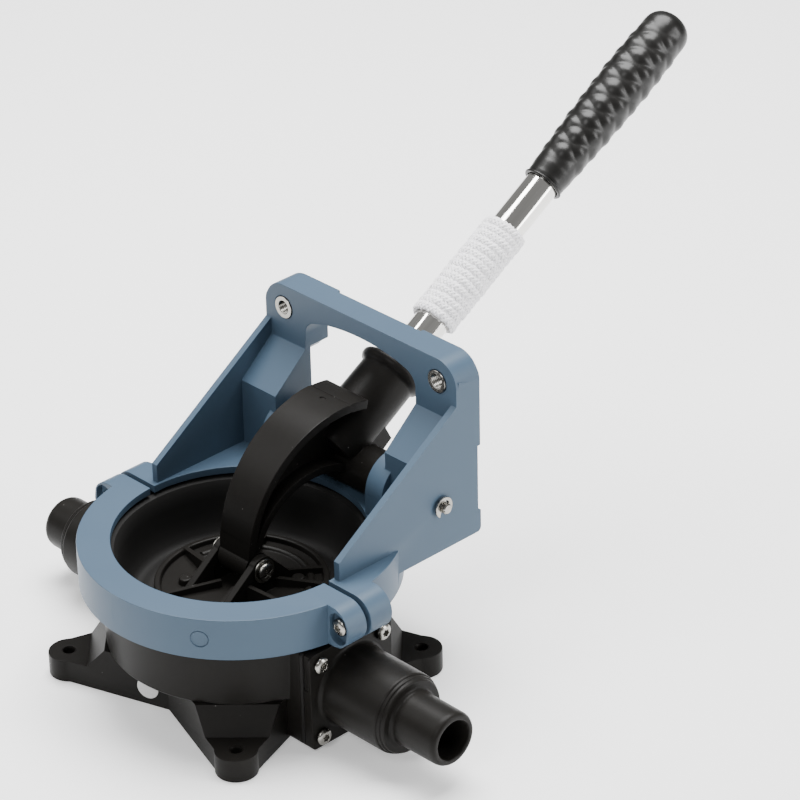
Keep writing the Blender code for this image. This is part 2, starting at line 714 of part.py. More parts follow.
def make_diaphragm(rubber):
    """Moulded rubber bowl with a thick bead and one rolling fold."""
    middle = [(58.5, 66.0), (56.0, 65.0), (54.8, 52.0), (51.8, 41.2),
              (47.6, 38.9), (43.6, 40.6), (39.0, 41.9), (9.5, 41.9)]
    half = 1.15
    upper = []
    lower = []
    for i, (r, z) in enumerate(middle):
        before = middle[max(i - 1, 0)]
        after = middle[min(i + 1, len(middle) - 1)]
        run = Vector((after[0] - before[0], after[1] - before[1])).normalized()
        upper.append((r + run.y * half, z - run.x * half))
        lower.append((r - run.y * half, z + run.x * half))
    bead = [(60.4, 61.0), (68.2, 61.0), (68.2, 66.6), (67.0, 68.1), (60.6, 68.1), (59.4, 66.6)]
    section = list(reversed(upper)) + list(reversed(bead)) + lower
    sheet = turned(section, 32)
    for index in range(4):
        turn = math.radians(45 + 90 * index)
        at = (PLATE_SCREW_AT * math.cos(turn), PLATE_SCREW_AT * math.sin(turn), 0)
        cut(sheet, rod(at, (0, 0, 1), 2.4, 35.0, 50.0, 8))
    return finish(sheet, "diaphragm", rubber)


def make_upper_plate(skin, parent):
    """Ribbed clamping plate with the two lugs that take the lever."""
    plate = turned([
        (0.0, PLATE_Z0), (PLATE_R - 1.0, PLATE_Z0), (PLATE_R, PLATE_Z0 + 1.0), (PLATE_R, RIM_Z - 0.6),
        (PLATE_R - 0.6, RIM_Z), (PLATE_R - 2.6, RIM_Z), (PLATE_R - 3.0, PLATE_Z1), (0.0, PLATE_Z1),
    ], 40)
    ly, lz = LINK
    slope = [(-24.0, PLATE_Z1 - 0.6)] + arc((ly, lz), 6.6, 136, 44, 6) + [(26.0, PLATE_Z1 - 0.6)]
    for side in (-1, 1):
        low, high = sorted((side * LUG_IN, side * LUG_OUT))
        join(plate, prism(slope, "X", low, high))
        for y in (-12.0, 13.0):
            low, high = sorted((side * (LUG_OUT - 0.5), side * 35.0))
            rib = [(side * (LUG_OUT - 0.5), PLATE_Z1 - 0.6), (side * (LUG_OUT - 0.5), 54.5),
                   (side * 34.6, RIM_Z), (side * 34.6, PLATE_Z1 - 0.6)]
            join(plate, prism(rib, "Y", y - 1.1, y + 1.1))
    for y in (-20.0, 22.0):
        join(plate, box(-LUG_IN - 0.5, LUG_IN + 0.5, y - 1.1, y + 1.1, PLATE_Z1 - 0.6, RIM_Z))
    for index in range(4):
        turn = math.radians(45 + 90 * index)
        at = (PLATE_SCREW_AT * math.cos(turn), PLATE_SCREW_AT * math.sin(turn), 0)
        join(plate, rod(at, (0, 0, 1), 4.4, PLATE_Z1 - 1.0, 50.2, 12))
        cut(plate, rod(at, (0, 0, 1), 2.2, PLATE_Z0 - 3.0, 48.8, 8))
    for side in (-1, 1):
        cut(plate, rod((0, ly, lz), (side, 0, 0), 2.4 + GAP, 5.0, 20.0, 16))
    return finish(plate, "clamp_plate_upper", skin, origin=swing_centre(), parent=parent)


def make_lower_plate(skin, parent):
    """Backing plate under the diaphragm with the hub that fills its centre hole."""
    plate = turned([
        (0.0, 38.0), (30.0, 38.0), (33.0, 39.6), (33.0, 40.4), (8.8, 40.4), (8.8, 43.1),
        (0.0, 43.1),
    ], 32)
    for index in range(4):
        turn = math.radians(45 + 90 * index)
        at = (PLATE_SCREW_AT * math.cos(turn), PLATE_SCREW_AT * math.sin(turn), 0)
        cut(plate, rod(at, (0, 0, 1), 2.3, 30.0, 50.0, 8))
    return finish(plate, "clamp_plate_lower", skin, origin=swing_centre(), parent=parent)


def make_plate_screws(steel, parent):
    for index in range(4):
        turn = math.radians(45 + 90 * index)
        at = (PLATE_SCREW_AT * math.cos(turn), PLATE_SCREW_AT * math.sin(turn), 38.0 - GAP)
        screw = pan_screw(at, (0, 0, -1), 3.6, 2.2, 1.8, 10.4)
        finish(screw, "plate_screw_%d" % (index + 1), steel, origin=swing_centre(), parent=parent)


def make_link_screws(steel, parent):
    """Two shoulder screws that pin the lever between the lugs, one from each side."""
    for side, label in ((-1, "left"), (1, "right")):
        at = (side * (LUG_OUT + GAP), LINK[0], LINK[1])
        screw = pan_screw(at, (side, 0, 0), 4.9, 3.2, 2.4, 12.6, 14)
        finish(screw, "link_screw_" + label, steel, origin=swing_centre(), parent=parent)


# ---------------------------------------------------------------- handle

def make_handle(chrome, vinyl, cord, parent):
    """Tube with its grip, and the lanyard that is wound around it."""
    frame = handle_frame()
    origin = frame.to_translation()
    tube = turned([
        (TUBE_IN, TUBE_START), (TUBE_R - 0.4, TUBE_START), (TUBE_R, TUBE_START + 0.5),
        (TUBE_R, TUBE_END), (TUBE_IN, TUBE_END),
    ], 24, frame)
    finish(tube, "handle_tube", chrome, origin=origin, parent=parent)
    start, end = GRIP_START, GRIP_END
    outer = [(9.1, start), (9.3, start + 2.0), (9.6, start + 8.0), (10.3, start + 20.0),
             (11.0, start + 36.0), (11.7, start + 52.0), (12.1, start + 66.0),
             (11.9, start + 78.0), (11.0, start + 88.0), (9.6, start + 95.0),
             (7.0, start + 100.0), (3.6, end - 0.3), (0.0, end)]
    inner = [(0.0, TUBE_END + GAP), (TUBE_R + GAP, TUBE_END + GAP), (TUBE_R + GAP, start)]
    finish(turned(outer + inner, 20, frame), "handle_grip", vinyl, origin=origin, parent=parent)
    wrap = turned([
        (TUBE_R + GAP, WRAP_START), (WRAP_R - 0.8, WRAP_START), (WRAP_R, WRAP_START + 1.2),
        (WRAP_R, WRAP_END - 1.2), (WRAP_R - 0.8, WRAP_END), (TUBE_R + GAP, WRAP_END),
    ], 24, frame)
    finish(wrap, "lanyard_wrap", cord, origin=origin, parent=parent)


# ---------------------------------------------------------------- assembly

def main():
    clear_scene()
    black = material("black_plastic", (0.017, 0.016, 0.016), 0.0, 0.42)
    blue = material("blue_grey_plastic", (0.19, 0.28, 0.36), 0.0, 0.38)
    rubber = material("black_rubber", (0.012, 0.012, 0.012), 0.0, 0.6)
    vinyl = material("grip_vinyl", (0.012, 0.012, 0.013), 0.0, 0.28)
    steel = material("stainless_steel", (0.58, 0.56, 0.52), 1.0, 0.3)
    chrome = material("chrome_tube", (0.72, 0.71, 0.69), 1.0, 0.12)
    cord = material("white_cord", (0.82, 0.81, 0.82), 0.0, 0.8)

    make_pump_body(black)
    make_clamp_ring_front(blue)
    make_yoke(blue)
    make_clamp_fasteners(steel)
    make_inserts(steel)
    make_pivot_pin(steel)
    make_pivot_clips(steel)
    for side, label, end, bore in ((1, "outlet", OUTLET_END, SWING_BORE),
                                   (-1, "inlet", INLET_END, SEAT_BORE)):
        make_port(side, label + "_port", end, bore, black)
        make_gasket(side, label + "_gasket", rubber)
        make_flap(side, label + "_flap", rubber)
        make_port_screws(side, label, steel)
    make_diaphragm(rubber)

    lever_axis = joint_empty("lever_axis", (0, PIVOT[0], PIVOT[1]))
    make_lever(black, lever_axis)
    handle_axis = joint_empty("handle_axis", handle_frame().to_translation())
    handle_axis.parent = lever_axis
    handle_axis.matrix_parent_inverse = lever_axis.matrix_world.inverted()
    bpy.context.view_layer.update()
    make_handle(chrome, vinyl, cord, handle_axis)

    plate_axis = joint_empty("plate_axis", swing_centre())
    make_upper_plate(black, plate_axis)
    make_lower_plate(black, plate_axis)
    make_plate_screws(steel, plate_axis)
    make_link_screws(steel, plate_axis)


main()
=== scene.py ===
"""Looks of the hand-operated bilge pump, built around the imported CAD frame.

Shapes are drawn in millimetres in the frame of the CAD model and scaled to metres when each
piece is finished. Every piece takes its place from the nodes and joints of that model.
"""
import json
import random
from math import asin, atan2, cos, degrees, pi, radians, sin, sqrt

import bmesh
import bpy
from mathutils import Matrix, Vector
from mathutils.bvhtree import BVHTree
from mathutils.geometry import intersect_line_line_2d, intersect_point_line


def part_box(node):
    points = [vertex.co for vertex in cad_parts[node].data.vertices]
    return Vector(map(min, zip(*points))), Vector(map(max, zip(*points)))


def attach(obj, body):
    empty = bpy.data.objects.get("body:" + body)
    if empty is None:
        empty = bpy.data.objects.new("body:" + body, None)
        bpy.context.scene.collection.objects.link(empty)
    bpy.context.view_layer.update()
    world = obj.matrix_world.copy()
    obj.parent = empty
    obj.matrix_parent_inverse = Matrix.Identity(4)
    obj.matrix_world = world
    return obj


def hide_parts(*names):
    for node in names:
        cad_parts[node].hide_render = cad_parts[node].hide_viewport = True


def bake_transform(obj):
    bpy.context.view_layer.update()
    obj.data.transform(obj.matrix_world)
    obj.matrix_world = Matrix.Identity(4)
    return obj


MM = 0.001
ROUND = 144     # sides of the large round shapes
MIDDLE = 72     # sides of the middle-sized round shapes
SMALL = 32      # sides of the small round shapes
EDGE = 0.45     # width of the rounding on moulded edges
SIDES = ((-1, "left"), (1, "right"))

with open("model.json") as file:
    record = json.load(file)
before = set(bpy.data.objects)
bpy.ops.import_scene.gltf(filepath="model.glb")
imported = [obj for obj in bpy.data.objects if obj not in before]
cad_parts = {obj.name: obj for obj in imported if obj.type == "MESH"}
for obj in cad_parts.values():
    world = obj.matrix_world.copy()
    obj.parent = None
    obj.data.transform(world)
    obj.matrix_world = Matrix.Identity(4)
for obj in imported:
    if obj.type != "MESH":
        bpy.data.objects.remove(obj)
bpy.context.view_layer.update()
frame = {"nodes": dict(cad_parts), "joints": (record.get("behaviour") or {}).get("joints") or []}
JOINTS = {joint["name"]: joint for joint in frame["joints"]}


def box_mm(node):
    low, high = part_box(node)
    return low / MM, high / MM


def middle(node):
    low, high = box_mm(node)
    return (low + high) / 2


# ---- driving dimensions, mm

PIVOT = (JOINTS["lever_pivot"]["pos_m"][1] / MM, JOINTS["lever_pivot"]["pos_m"][2] / MM)
SWING = Vector(JOINTS["plate_travel"]["pos_m"]) / MM
ALONG = Vector(JOINTS["handle_slide"]["axis"]).normalized()
LINK = (PIVOT[0] * 2 - SWING.y, PIVOT[1] * 2 - SWING.z)
PIVOT_AT = (0, *PIVOT)
LINK_AT = (0, *LINK)
PORT_Z = middle("outlet_flap").z
OUTLET_END = box_mm("outlet_port")[1].x
INLET_END = -box_mm("inlet_port")[0].x
INSERT_X = middle("thread_insert_right").x
INSERT_Z = middle("thread_insert_right").z
CLAMP_X = middle("clamp_screw_right").x
EAR_Z = middle("clamp_screw_right").z
RING_LOW, RING_HIGH = box_mm("clamp_ring_front")
RING_Z0 = RING_LOW.z
RING_Z1 = RING_HIGH.z
FRONT_SPLIT = RING_HIGH.y
YOKE_X = 61.2
YOKE_Y0 = 74.5
YOKE_Y1 = 87.2
PAD_Y = box_mm("yoke_frame")[1].y
YOKE_TOP = box_mm("yoke_frame")[1].z
YOKE_FOOT = 60.0
YOKE_WALL = 3.2
CORNER_R = 12.0
OPEN_X = 35.4
OPEN_TOP = 140.0
WEB_Y = 55.2
WEB_Z0 = 103.8
WEB_Z1 = 121.5
DECK_Z = 67.0
BOSS_R = 15.5
BOSS_X = 27.2
RING_R = 72.0
RING_IN = 57.0
RING_LIP = 64.0
REAR_SPLIT = -0.2
FLANGE_R = 68.4
FLANGE_Z0 = 55.5
FLANGE_Z1 = box_mm("pump_body")[1].z
SEAT_R = FLANGE_R + 0.5         # room in the ring for the flange of the body
SEAT_Z0 = FLANGE_Z0 - 0.3
SEAT_Z1 = FLANGE_Z1 + 7.7
DRUM_R_LOW = 61.5
DRUM_R_HIGH = 63.0
DRUM_Z = 21.5
FOOT_AT = 78.8
FOOT_TIP_R = 9.6
FOOT_Z = 11.0
FOOT_WAIST = 46.0
FOOT_HOLE_AT = 79.0
FOOT_HOLE_R = 2.5
EAR_X = 73.5
EAR_R = 10.0
EAR_Y = 12.5
EAR_FRONT = 13.6
EAR_POCKET = 10.3
BLOCK_X = 63.2
PORT_FACE = 65.5
PORT_FLANGE = 70.0
PORT_HALF = 24.3
PORT_SCREW = 18.4
BIG_R = 19.0
BIG_END = 104.0
STEP_R = 18.1
STEP_END = 105.6
SHOULDER_R = 17.3
SHOULDER_END = 107.3
SMALL_R = 12.7
SMALL_BORE = 9.2
SWING_BORE = 15.3
SEAT_BORE = 11.0
HUB_R = 11.0
HUB_X = 26.6
PIN_R = 3.0
PIN_BORE = PIN_R + 0.3
CLAMP_BORE = 2.5
PLATE_SCREW_AT = 25.0
LINK_R = 6.8
ARC_OUT = (54.0, 60.5, 57.8)
ARC_IN = (37.0, 54.0, 38.4)
PLATE_R = 39.0
PLATE_Z0 = box_mm("clamp_plate_upper")[0].z
PLATE_Z1 = 45.8
RIM_Z = 48.4
LUG_IN = 9.9
LUG_OUT = 13.4

# The handle, measured along its axis from the zero of the socket
SOCKET_R = 14.0
SOCKET_END = 44.0
SOCKET_BORE = 8.3
TUBE_R = 8.0
TUBE_START = 4.5
TUBE_END = 236.0
WRAP_START = 71.0
WRAP_END = 129.5
GRIP_START = 156.0
GRIP_END = 259.2
GRIP_BORE = 8.35


# ---- shape helpers

def solid(points, faces):
    form = bmesh.new()
    made = [form.verts.new(p) for p in points]
    for face in faces:
        form.faces.new([made[i] for i in face])
    bmesh.ops.recalc_face_normals(form, faces=form.faces)
    mesh = bpy.data.meshes.new("form")
    form.to_mesh(mesh)
    form.free()
    item = bpy.data.objects.new("form", mesh)
    bpy.context.scene.collection.objects.link(item)
    return item


def prism(outline, axis, low, high):
    """Straight extrusion of an outline: (y, z) along X, (x, z) along Y, (x, y) along Z."""
    put = {"X": lambda a, b, c: (c, a, b), "Y": lambda a, b, c: (a, c, b),
           "Z": lambda a, b, c: (a, b, c)}[axis]
    count = len(outline)
    points = [put(a, b, low) for a, b in outline] + [put(a, b, high) for a, b in outline]
    faces = [tuple(range(count)), tuple(range(2 * count - 1, count - 1, -1))]
    faces += [(i, (i + 1) % count, count + (i + 1) % count, count + i) for i in range(count)]
    return solid(points, faces)


def box(x0, x1, y0, y1, z0, z1):
    return prism([(x0, y0), (x1, y0), (x1, y1), (x0, y1)], "Z", z0, z1)


def slab(outline, side, near_x, far_x):
    """Outline (y, z) drawn out along X between two distances from the middle, on one side."""
    low, high = sorted((side * near_x, side * far_x))
    return prism(outline, "X", low, high)


def circle(radius, count, height):
    turns = [2 * pi * k / count for k in range(count)]
    return [(radius * cos(turn), radius * sin(turn), height) for turn in turns]


def band(first, second, count):
    """Faces between two rings of points, given where each ring starts."""
    return [(first + k, first + (k + 1) % count, second + (k + 1) % count, second + k)
            for k in range(count)]


def turned(profile, segments, place=None):
    """Solid of revolution about Z from a closed (radius, height) outline, then placed."""
    points = []
    rows = []
    for radius, height in profile:
        if radius < 1e-6:
            rows.append([len(points)] * segments)
            points.append((0.0, 0.0, height))
            continue
        rows.append(list(range(len(points), len(points) + segments)))
        points += circle(radius, segments, height)
    faces = []
    for i, row in enumerate(rows):
        after = rows[(i + 1) % len(rows)]
        for k in range(segments):
            m = (k + 1) % segments
            ring = []
            for index in (row[k], row[m], after[m], after[k]):
                if index not in ring:
                    ring.append(index)
            if len(ring) > 2:
                faces.append(ring)
    item = solid(points, faces)
    if place is not None:
        item.data.transform(place)
    return item


def frame_along(origin, direction):
    turn = Vector((0.0, 0.0, 1.0)).rotation_difference(Vector(direction)).to_matrix()
    return Matrix.Translation(Vector(origin)) @ turn.to_4x4()


def rod(origin, direction, radius, low, high, segments=SMALL):
    outline = [(0.0, low), (radius, low), (radius, high), (0.0, high)]
    return turned(outline, segments, frame_along(origin, direction))


def combine(target, tool, operation):
    change = target.modifiers.new("Boolean", "BOOLEAN")
    change.operation = operation
    change.solver = "EXACT"
    change.object = tool
    graph = bpy.context.evaluated_depsgraph_get()
    mesh = bpy.data.meshes.new_from_object(target.evaluated_get(graph))
    target.modifiers.clear()
    target.data = mesh
    bpy.data.objects.remove(tool)


def join(target, *tools):
    for tool in tools:
        combine(target, tool, "UNION")


def cut(target, *tools):
    for tool in tools:
        combine(target, tool, "DIFFERENCE")
    return target


def arc(centre, radius, start, end, steps):
    points = []
    for k in range(steps + 1):
        turn = radians(start + (end - start) * k / steps)
        points.append((centre[0] + radius * cos(turn), centre[1] + radius * sin(turn)))
    return points


def rounded_rectangle(x0, x1, y0, y1, radius, steps=6):
    corners = ((x1 - radius, y1 - radius), (x0 + radius, y1 - radius),
               (x0 + radius, y0 + radius), (x1 - radius, y0 + radius))
    points = []
    for index, corner in enumerate(corners):
        points += arc(corner, radius, 90 * index, 90 * index + 90, steps)
    return points


def crossings(face):
    """Points where the outline of a face runs across itself."""
    drop = max(range(3), key=lambda axis: abs(face.normal[axis]))
    flat = [axis for axis in range(3) if axis != drop]
    corners = [vert.co for vert in face.verts]
    ends = [Vector((co[flat[0]], co[flat[1]])) for co in corners]
    count = len(corners)
    found = []
    for i in range(count):
        for j in range(i + 2, count - (i == 0)):
            meet = intersect_line_line_2d(ends[i], ends[(i + 1) % count],
                                          ends[j], ends[(j + 1) % count])
            if meet is not None:
                found.append(corners[i].copy())
                found.append(corners[j].copy())
    return found


def folded(form):
    """Faces whose triangles cover clearly more than their outline encloses."""
    covered = {}
    for loops in form.calc_loop_triangles():
        a, b, c = (loop.vert.co for loop in loops)
        face = loops[0].face
        covered[face] = covered.get(face, 0.0) + (b - a).cross(c - a).length / 2
    return [face for face, area in covered.items() if area - face.calc_area() > 0.5]


def tight_spots(form, surface, width):
    """Places where a rounding had no room: folded faces, and corners off the surface."""
    spots = []
    for face in folded(form):
        spots += crossings(face) or [vert.co.copy() for vert in face.verts]
    for vert in form.verts:
        if surface.find_nearest(vert.co)[3] > 1.3 * width:
            spots += [edge.other_vert(vert).co.copy() for edge in vert.link_edges]
            spots.append(vert.co.copy())
    return spots


def near(edge, spots, reach):
    a, b = edge.verts[0].co, edge.verts[1].co
    for spot in spots:
        foot, share = intersect_point_line(spot, a, b)
        foot = a if share < 0 else b if share > 1 else foot
        if (foot - spot).length < reach:
            return True
    return False


def round_edges(item, width, angle=32.0, segments=2):
    """Merges flat faces, then rounds each edge sharper than the angle that has room for it."""
    form = bmesh.new()
    form.from_mesh(item.data)
    bmesh.ops.remove_doubles(form, verts=form.verts, dist=0.002)
    bmesh.ops.dissolve_degenerate(form, edges=form.edges, dist=0.002)
    bmesh.ops.dissolve_limit(form, angle_limit=radians(0.4), verts=form.verts, edges=form.edges)
    bmesh.ops.dissolve_degenerate(form, edges=form.edges, dist=0.12)
    surface = BVHTree.FromBMesh(form)
    form.edges.index_update()
    sharp = [edge.index for edge in form.edges
             if len(edge.link_faces) == 2 and edge.calc_face_angle(0.0) > radians(angle)]
    for attempt in range(6):
        trial = form.copy()
        trial.edges.ensure_lookup_table()
        bmesh.ops.bevel(trial, geom=[trial.edges[index] for index in sharp], offset=width,
                        offset_type="OFFSET", segments=segments, profile=0.5,
                        affect="EDGES", clamp_overlap=False, loop_slide=True)
        trial.normal_update()
        spots = tight_spots(trial, surface, width)
        if not spots or attempt == 5:
            break
        trial.free()
        form.edges.ensure_lookup_table()
        sharp = [index for index in sharp if not near(form.edges[index], spots, 1.2 * width)]
    trial.to_mesh(item.data)
    trial.free()
    form.free()


def finish(item, name, skin, body, nodes=(), smooth=35.0, weighted=True):
    """Scales a piece to metres, shades it, ties it to its body and hides the CAD nodes it stands
    for.
    """
    item.data.transform(Matrix.Scale(MM, 4))
    item.name = name
    item.data.name = name
    item.data.materials.clear()
    item.data.materials.append(skin)
    item.data.shade_smooth()
    item.data.set_sharp_from_angle(angle=radians(smooth))
    if weighted:
        modifier = item.modifiers.new("Even shading", "WEIGHTED_NORMAL")
        modifier.keep_sharp = True
    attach(item, body)
    if nodes:
        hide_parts(*nodes)


def handle_frame():
    """Frame of the socket and the handle, with its zero at the point nearest the pivot."""
    centre = middle("handle_tube")
    origin = centre - ALONG * (TUBE_START + TUBE_END) / 2
    across = Vector((0.0, -ALONG.z, ALONG.y))
    return Matrix((
        (-1.0, 0.0, 0.0, 0.0),
        (0.0, across.y, ALONG.y, origin.y),
        (0.0, across.z, ALONG.z, origin.z),
        (0.0, 0.0, 0.0, 1.0),
    ))


# ---- materials

class Skin:
    """A Principled material with helpers that wire procedural detail into it."""

    def __init__(self, name):
        self.material = bpy.data.materials.new(name)
        self.material.use_nodes = True
        self.tree = self.material.node_tree
        self.shader = self.tree.nodes["Principled BSDF"]
        self.place = self.node("ShaderNodeTexCoord").outputs["Object"]

    def feed(self, node, inputs):
        """Links a source to each named input, or sets its value."""
        for name, value in inputs.items():
            if isinstance(value, bpy.types.NodeSocket):
                self.tree.links.new(value, node.inputs[name])
            else:
                node.inputs[name].default_value = value

    def node(self, kind, inputs=None, **settings):
        made = self.tree.nodes.new(kind)
        for name, value in settings.items():
            setattr(made, name, value)
        self.feed(made, inputs or {})
        return made

    def noise(self, scale, detail=3.0, roughness=0.5, stretch=None):
        place = self.place
        if stretch is not None:
            mapping = self.node("ShaderNodeMapping", {"Scale": stretch, "Vector": place})
            place = mapping.outputs["Vector"]
        inputs = {"Scale": scale, "Detail": detail, "Roughness": roughness, "Vector": place}
        return self.node("ShaderNodeTexNoise", inputs).outputs["Fac"]

    def ramp(self, source, stops):
        """Colour ramp; each stop is (place, colour)."""
        made = self.node("ShaderNodeValToRGB", {"Fac": source})
        ramp = made.color_ramp
        while len(ramp.elements) < len(stops):
            ramp.elements.new(0.5)
        for element, (place, colour) in zip(ramp.elements, stops):
            element.position = place
            element.color = (*colour, 1.0)
        return made.outputs["Color"]

    def span(self, source, low, high):
        """The source, from 0 to 1, stretched between two values."""
        inputs = {"Value": source, "To Min": low, "To Max": high}
        return self.node("ShaderNodeMapRange", inputs).outputs["Result"]

    def bump(self, source, strength, distance):
        inputs = {"Height": source, "Strength": strength, "Distance": distance}
        return self.node("ShaderNodeBump", inputs).outputs["Normal"]

    def wire(self, **inputs):
        """Feeds the shader; an underscore stands for a space in the name of an input."""
        self.feed(self.shader, {name.replace("_", " "): inputs[name] for name in inputs})


def moulded(name, specular, drift, tones, gloss, grain, relief):
    """Plastic or rubber whose tone and gloss drift slowly, under a fine moulded grain."""
    skin = Skin(name)
    flow = skin.noise(*drift)
    base = skin.ramp(flow, [(0.3, tones[0]), (0.7, tones[1])])
    skin.wire(Specular_IOR_Level=specular, Base_Color=base, Roughness=skin.span(flow, *gloss),
              Normal=skin.bump(skin.noise(*grain), *relief))
    return skin, flow, base


def black_plastic():
    skin, flow, base = moulded(
        "black_plastic", 0.08, (18.0, 4.0, 0.6),
        ((0.0072, 0.0066, 0.0060), (0.0105, 0.0097, 0.0086)), (0.30, 0.44),
        (2600.0, 2.0, 0.6), (0.16, 0.0002))
    specks = skin.node("ShaderNodeTexVoronoi", {"Scale": 95.0, "Vector": skin.place}, feature="F1")
    dust = skin.ramp(specks.outputs["Distance"], [(0.0, (1, 1, 1)), (0.022, (1, 1, 1)),
                                                  (0.034, (0, 0, 0))])
    pale = skin.ramp(flow, [(0.0, (0.055, 0.053, 0.050)), (1.0, (0.10, 0.098, 0.094))])
    mixed = skin.node("ShaderNodeMix", {"Factor": dust, "A": base, "B": pale}, data_type="RGBA")
    skin.wire(Base_Color=mixed.outputs["Result"])
    return skin.material


def blue_plastic():
    return moulded("blue_grey_plastic", 0.2, (9.0, 4.0, 0.55),
                   ((0.048, 0.078, 0.116), (0.054, 0.087, 0.127)), (0.36, 0.48),
                   (1900.0, 2.0, 0.6), (0.06, 0.0002))[0].material


def black_rubber():
    return moulded("black_rubber", 0.14, (14.0, 3.0, 0.6),
                   ((0.0105, 0.0102, 0.0098), (0.0150, 0.0144, 0.0138)), (0.50, 0.68),
                   (2200.0, 2.0, 0.6), (0.12, 0.0002))[0].material


def grip_vinyl():
    return moulded("grip_vinyl", 0.32, (40.0, 3.0, 0.5),
                   ((0.0040, 0.0038, 0.0034), (0.0064, 0.0060, 0.0054)), (0.28, 0.38),
                   (420.0, 2.0, 0.5), (0.10, 0.0003))[0].material


def steel(name, low, high, tone):
    skin = Skin(name)
    wear = skin.noise(700.0, 3.0, 0.6)
    dark = tuple(0.82 * value for value in tone)
    skin.wire(Metallic=1.0, Base_Color=skin.ramp(wear, [(0.25, dark), (0.75, tone)]),
              Roughness=skin.span(wear, low, high),
              Normal=skin.bump(skin.noise(3000.0, 2.0, 0.6), 0.08, 0.0001))
    return skin.material


def polished_tube():
    skin = Skin("chrome_tube")
    draw = skin.noise(260.0, 3.0, 0.6, (1.0, 0.035, 0.05))
    skin.wire(Base_Color=skin.ramp(draw, [(0.3, (0.66, 0.65, 0.62)), (0.7, (0.86, 0.85, 0.81))]),
              Metallic=1.0, Roughness=skin.span(draw, 0.04, 0.12),
              Normal=skin.bump(draw, 0.5, 0.0005))
    return skin.material


def white_cord():
    skin = Skin("white_cord")
    skin.wire(Specular_IOR_Level=0.35, Sheen_Weight=0.25, Sheen_Roughness=0.5)
    fibre = skin.noise(1500.0, 3.0, 0.6, (1.0, 0.5, 0.5))
    skin.wire(Base_Color=skin.ramp(fibre, [(0.25, (0.84, 0.83, 0.85)), (0.75, (0.95, 0.94, 0.96))]),
              Roughness=skin.span(fibre, 0.45, 0.65), Normal=skin.bump(fibre, 0.45, 0.0004))
    return skin.material


def label_paper():
    skin = Skin("label_paper")
    fibre = skin.noise(900.0, 3.0, 0.6)
    skin.wire(Base_Color=skin.ramp(fibre, [(0.3, (0.60, 0.60, 0.59)), (0.7, (0.68, 0.68, 0.67))]),
              Roughness=skin.span(fibre, 0.4, 0.55), Normal=skin.bump(fibre, 0.2, 0.0002))
    return skin.material


def floor_paper():
    skin = Skin("floor_paper")
    tone = skin.noise(2.0, 2.0, 0.5)
    skin.wire(Emission_Color=(1.0, 1.0, 1.0, 1.0), Emission_Strength=0.3)
    skin.wire(Base_Color=skin.ramp(tone, [(0.3, (0.90, 0.90, 0.90)), (0.7, (0.92, 0.92, 0.92))]),
              Roughness=skin.span(tone, 0.75, 0.85))
    return skin.material


# ---- pump body

def foot_direction(index):
    turn = radians(45 + 90 * index)
    return cos(turn), sin(turn)


def star_outline():
    dx, dy = foot_direction(0)
    half = degrees(atan2(FOOT_AT * dy, FOOT_AT * dx - FOOT_WAIST)) + 12
    points = []
    for index in range(4):
        dx, dy = foot_direction(index)
        along = 45 + 90 * index
        points += arc((FOOT_AT * dx, FOOT_AT * dy), FOOT_TIP_R, along - half, along + half, 18)
        waist = radians(along + 45)
        points.append((FOOT_WAIST * cos(waist), FOOT_WAIST * sin(waist)))
    return points


def on_diagonal(index, distance):
    dx, dy = foot_direction(index)
    return Matrix.Translation((dx * distance, dy * distance, 0.0))


def foot_ramp(index):
    dx, dy = foot_direction(index)
    outline = [(FOOT_AT + 30, FOOT_Z), (70.0, FOOT_Z), (60.5, DRUM_Z + 1.5), (60.5, 40.0),
               (FOOT_AT + 30, 40.0)]
    item = prism(outline, "Y", -30.0, 30.0)
    item.data.transform(Matrix.Rotation(atan2(dy, dx), 4, "Z"))
    return item


def port_screw_points(side):
    return [(side * BLOCK_X, dy * PORT_SCREW, PORT_Z + dz * PORT_SCREW)
            for dz in (1, -1) for dy in (-1, 1)]


def port_square():
    """Outline of the square flange of a port, and of the block that carries it."""
    return rounded_rectangle(-PORT_HALF, PORT_HALF, 0.9, PORT_Z + PORT_HALF, 2.5)


def make_body(skin):
    body = prism(star_outline(), "Z", 0.0, DRUM_Z + 0.6)
    for index in range(4):
        cut(body, foot_ramp(index))
    join(body, turned([
        (0.0, 3.0), (40.0, 3.0), (40.0, DRUM_Z), (DRUM_R_LOW - 1.0, DRUM_Z),
        (DRUM_R_LOW, DRUM_Z + 1.0), (DRUM_R_HIGH, FLANGE_Z0), (FLANGE_R, FLANGE_Z0),
        (FLANGE_R, FLANGE_Z1), (0.0, FLANGE_Z1),
    ], ROUND))
    for side in (-1, 1):
        join(body, slab(port_square(), side, 38.0, BLOCK_X))
    cut(body, turned([
        (0.0, 6.0), (39.0, 6.0), (42.0, 9.0), (42.0, 25.0), (55.5, 25.0), (57.5, 27.0),
        (57.5, 70.0), (0.0, 70.0),
    ], ROUND))
    cut(body, rod((0, 0, PORT_Z), (1, 0, 0), SEAT_BORE, 36.0, BLOCK_X + 5, MIDDLE))
    cut(body, rod((0, 0, PORT_Z), (-1, 0, 0), SWING_BORE, 36.0, BLOCK_X + 5, MIDDLE))
    for index in range(4):
        cut(body, turned([
            (0.0, -2.0), (FOOT_HOLE_R, -2.0), (FOOT_HOLE_R, FOOT_Z - 0.7),
            (FOOT_HOLE_R + 0.35, FOOT_Z - 0.35), (FOOT_HOLE_R + 0.35, FOOT_Z + 8.0),
            (0.0, FOOT_Z + 8.0),
        ], SMALL, on_diagonal(index, FOOT_HOLE_AT)))
    for side in (-1, 1):
        for x, y, z in port_screw_points(side):
            cut(body, rod((x, y, z), (side, 0, 0), 2.0, -6.5, 5.0, 16))
    round_edges(body, EDGE)
    finish(body, "body_shell", skin, "housing", ["pump_body"])


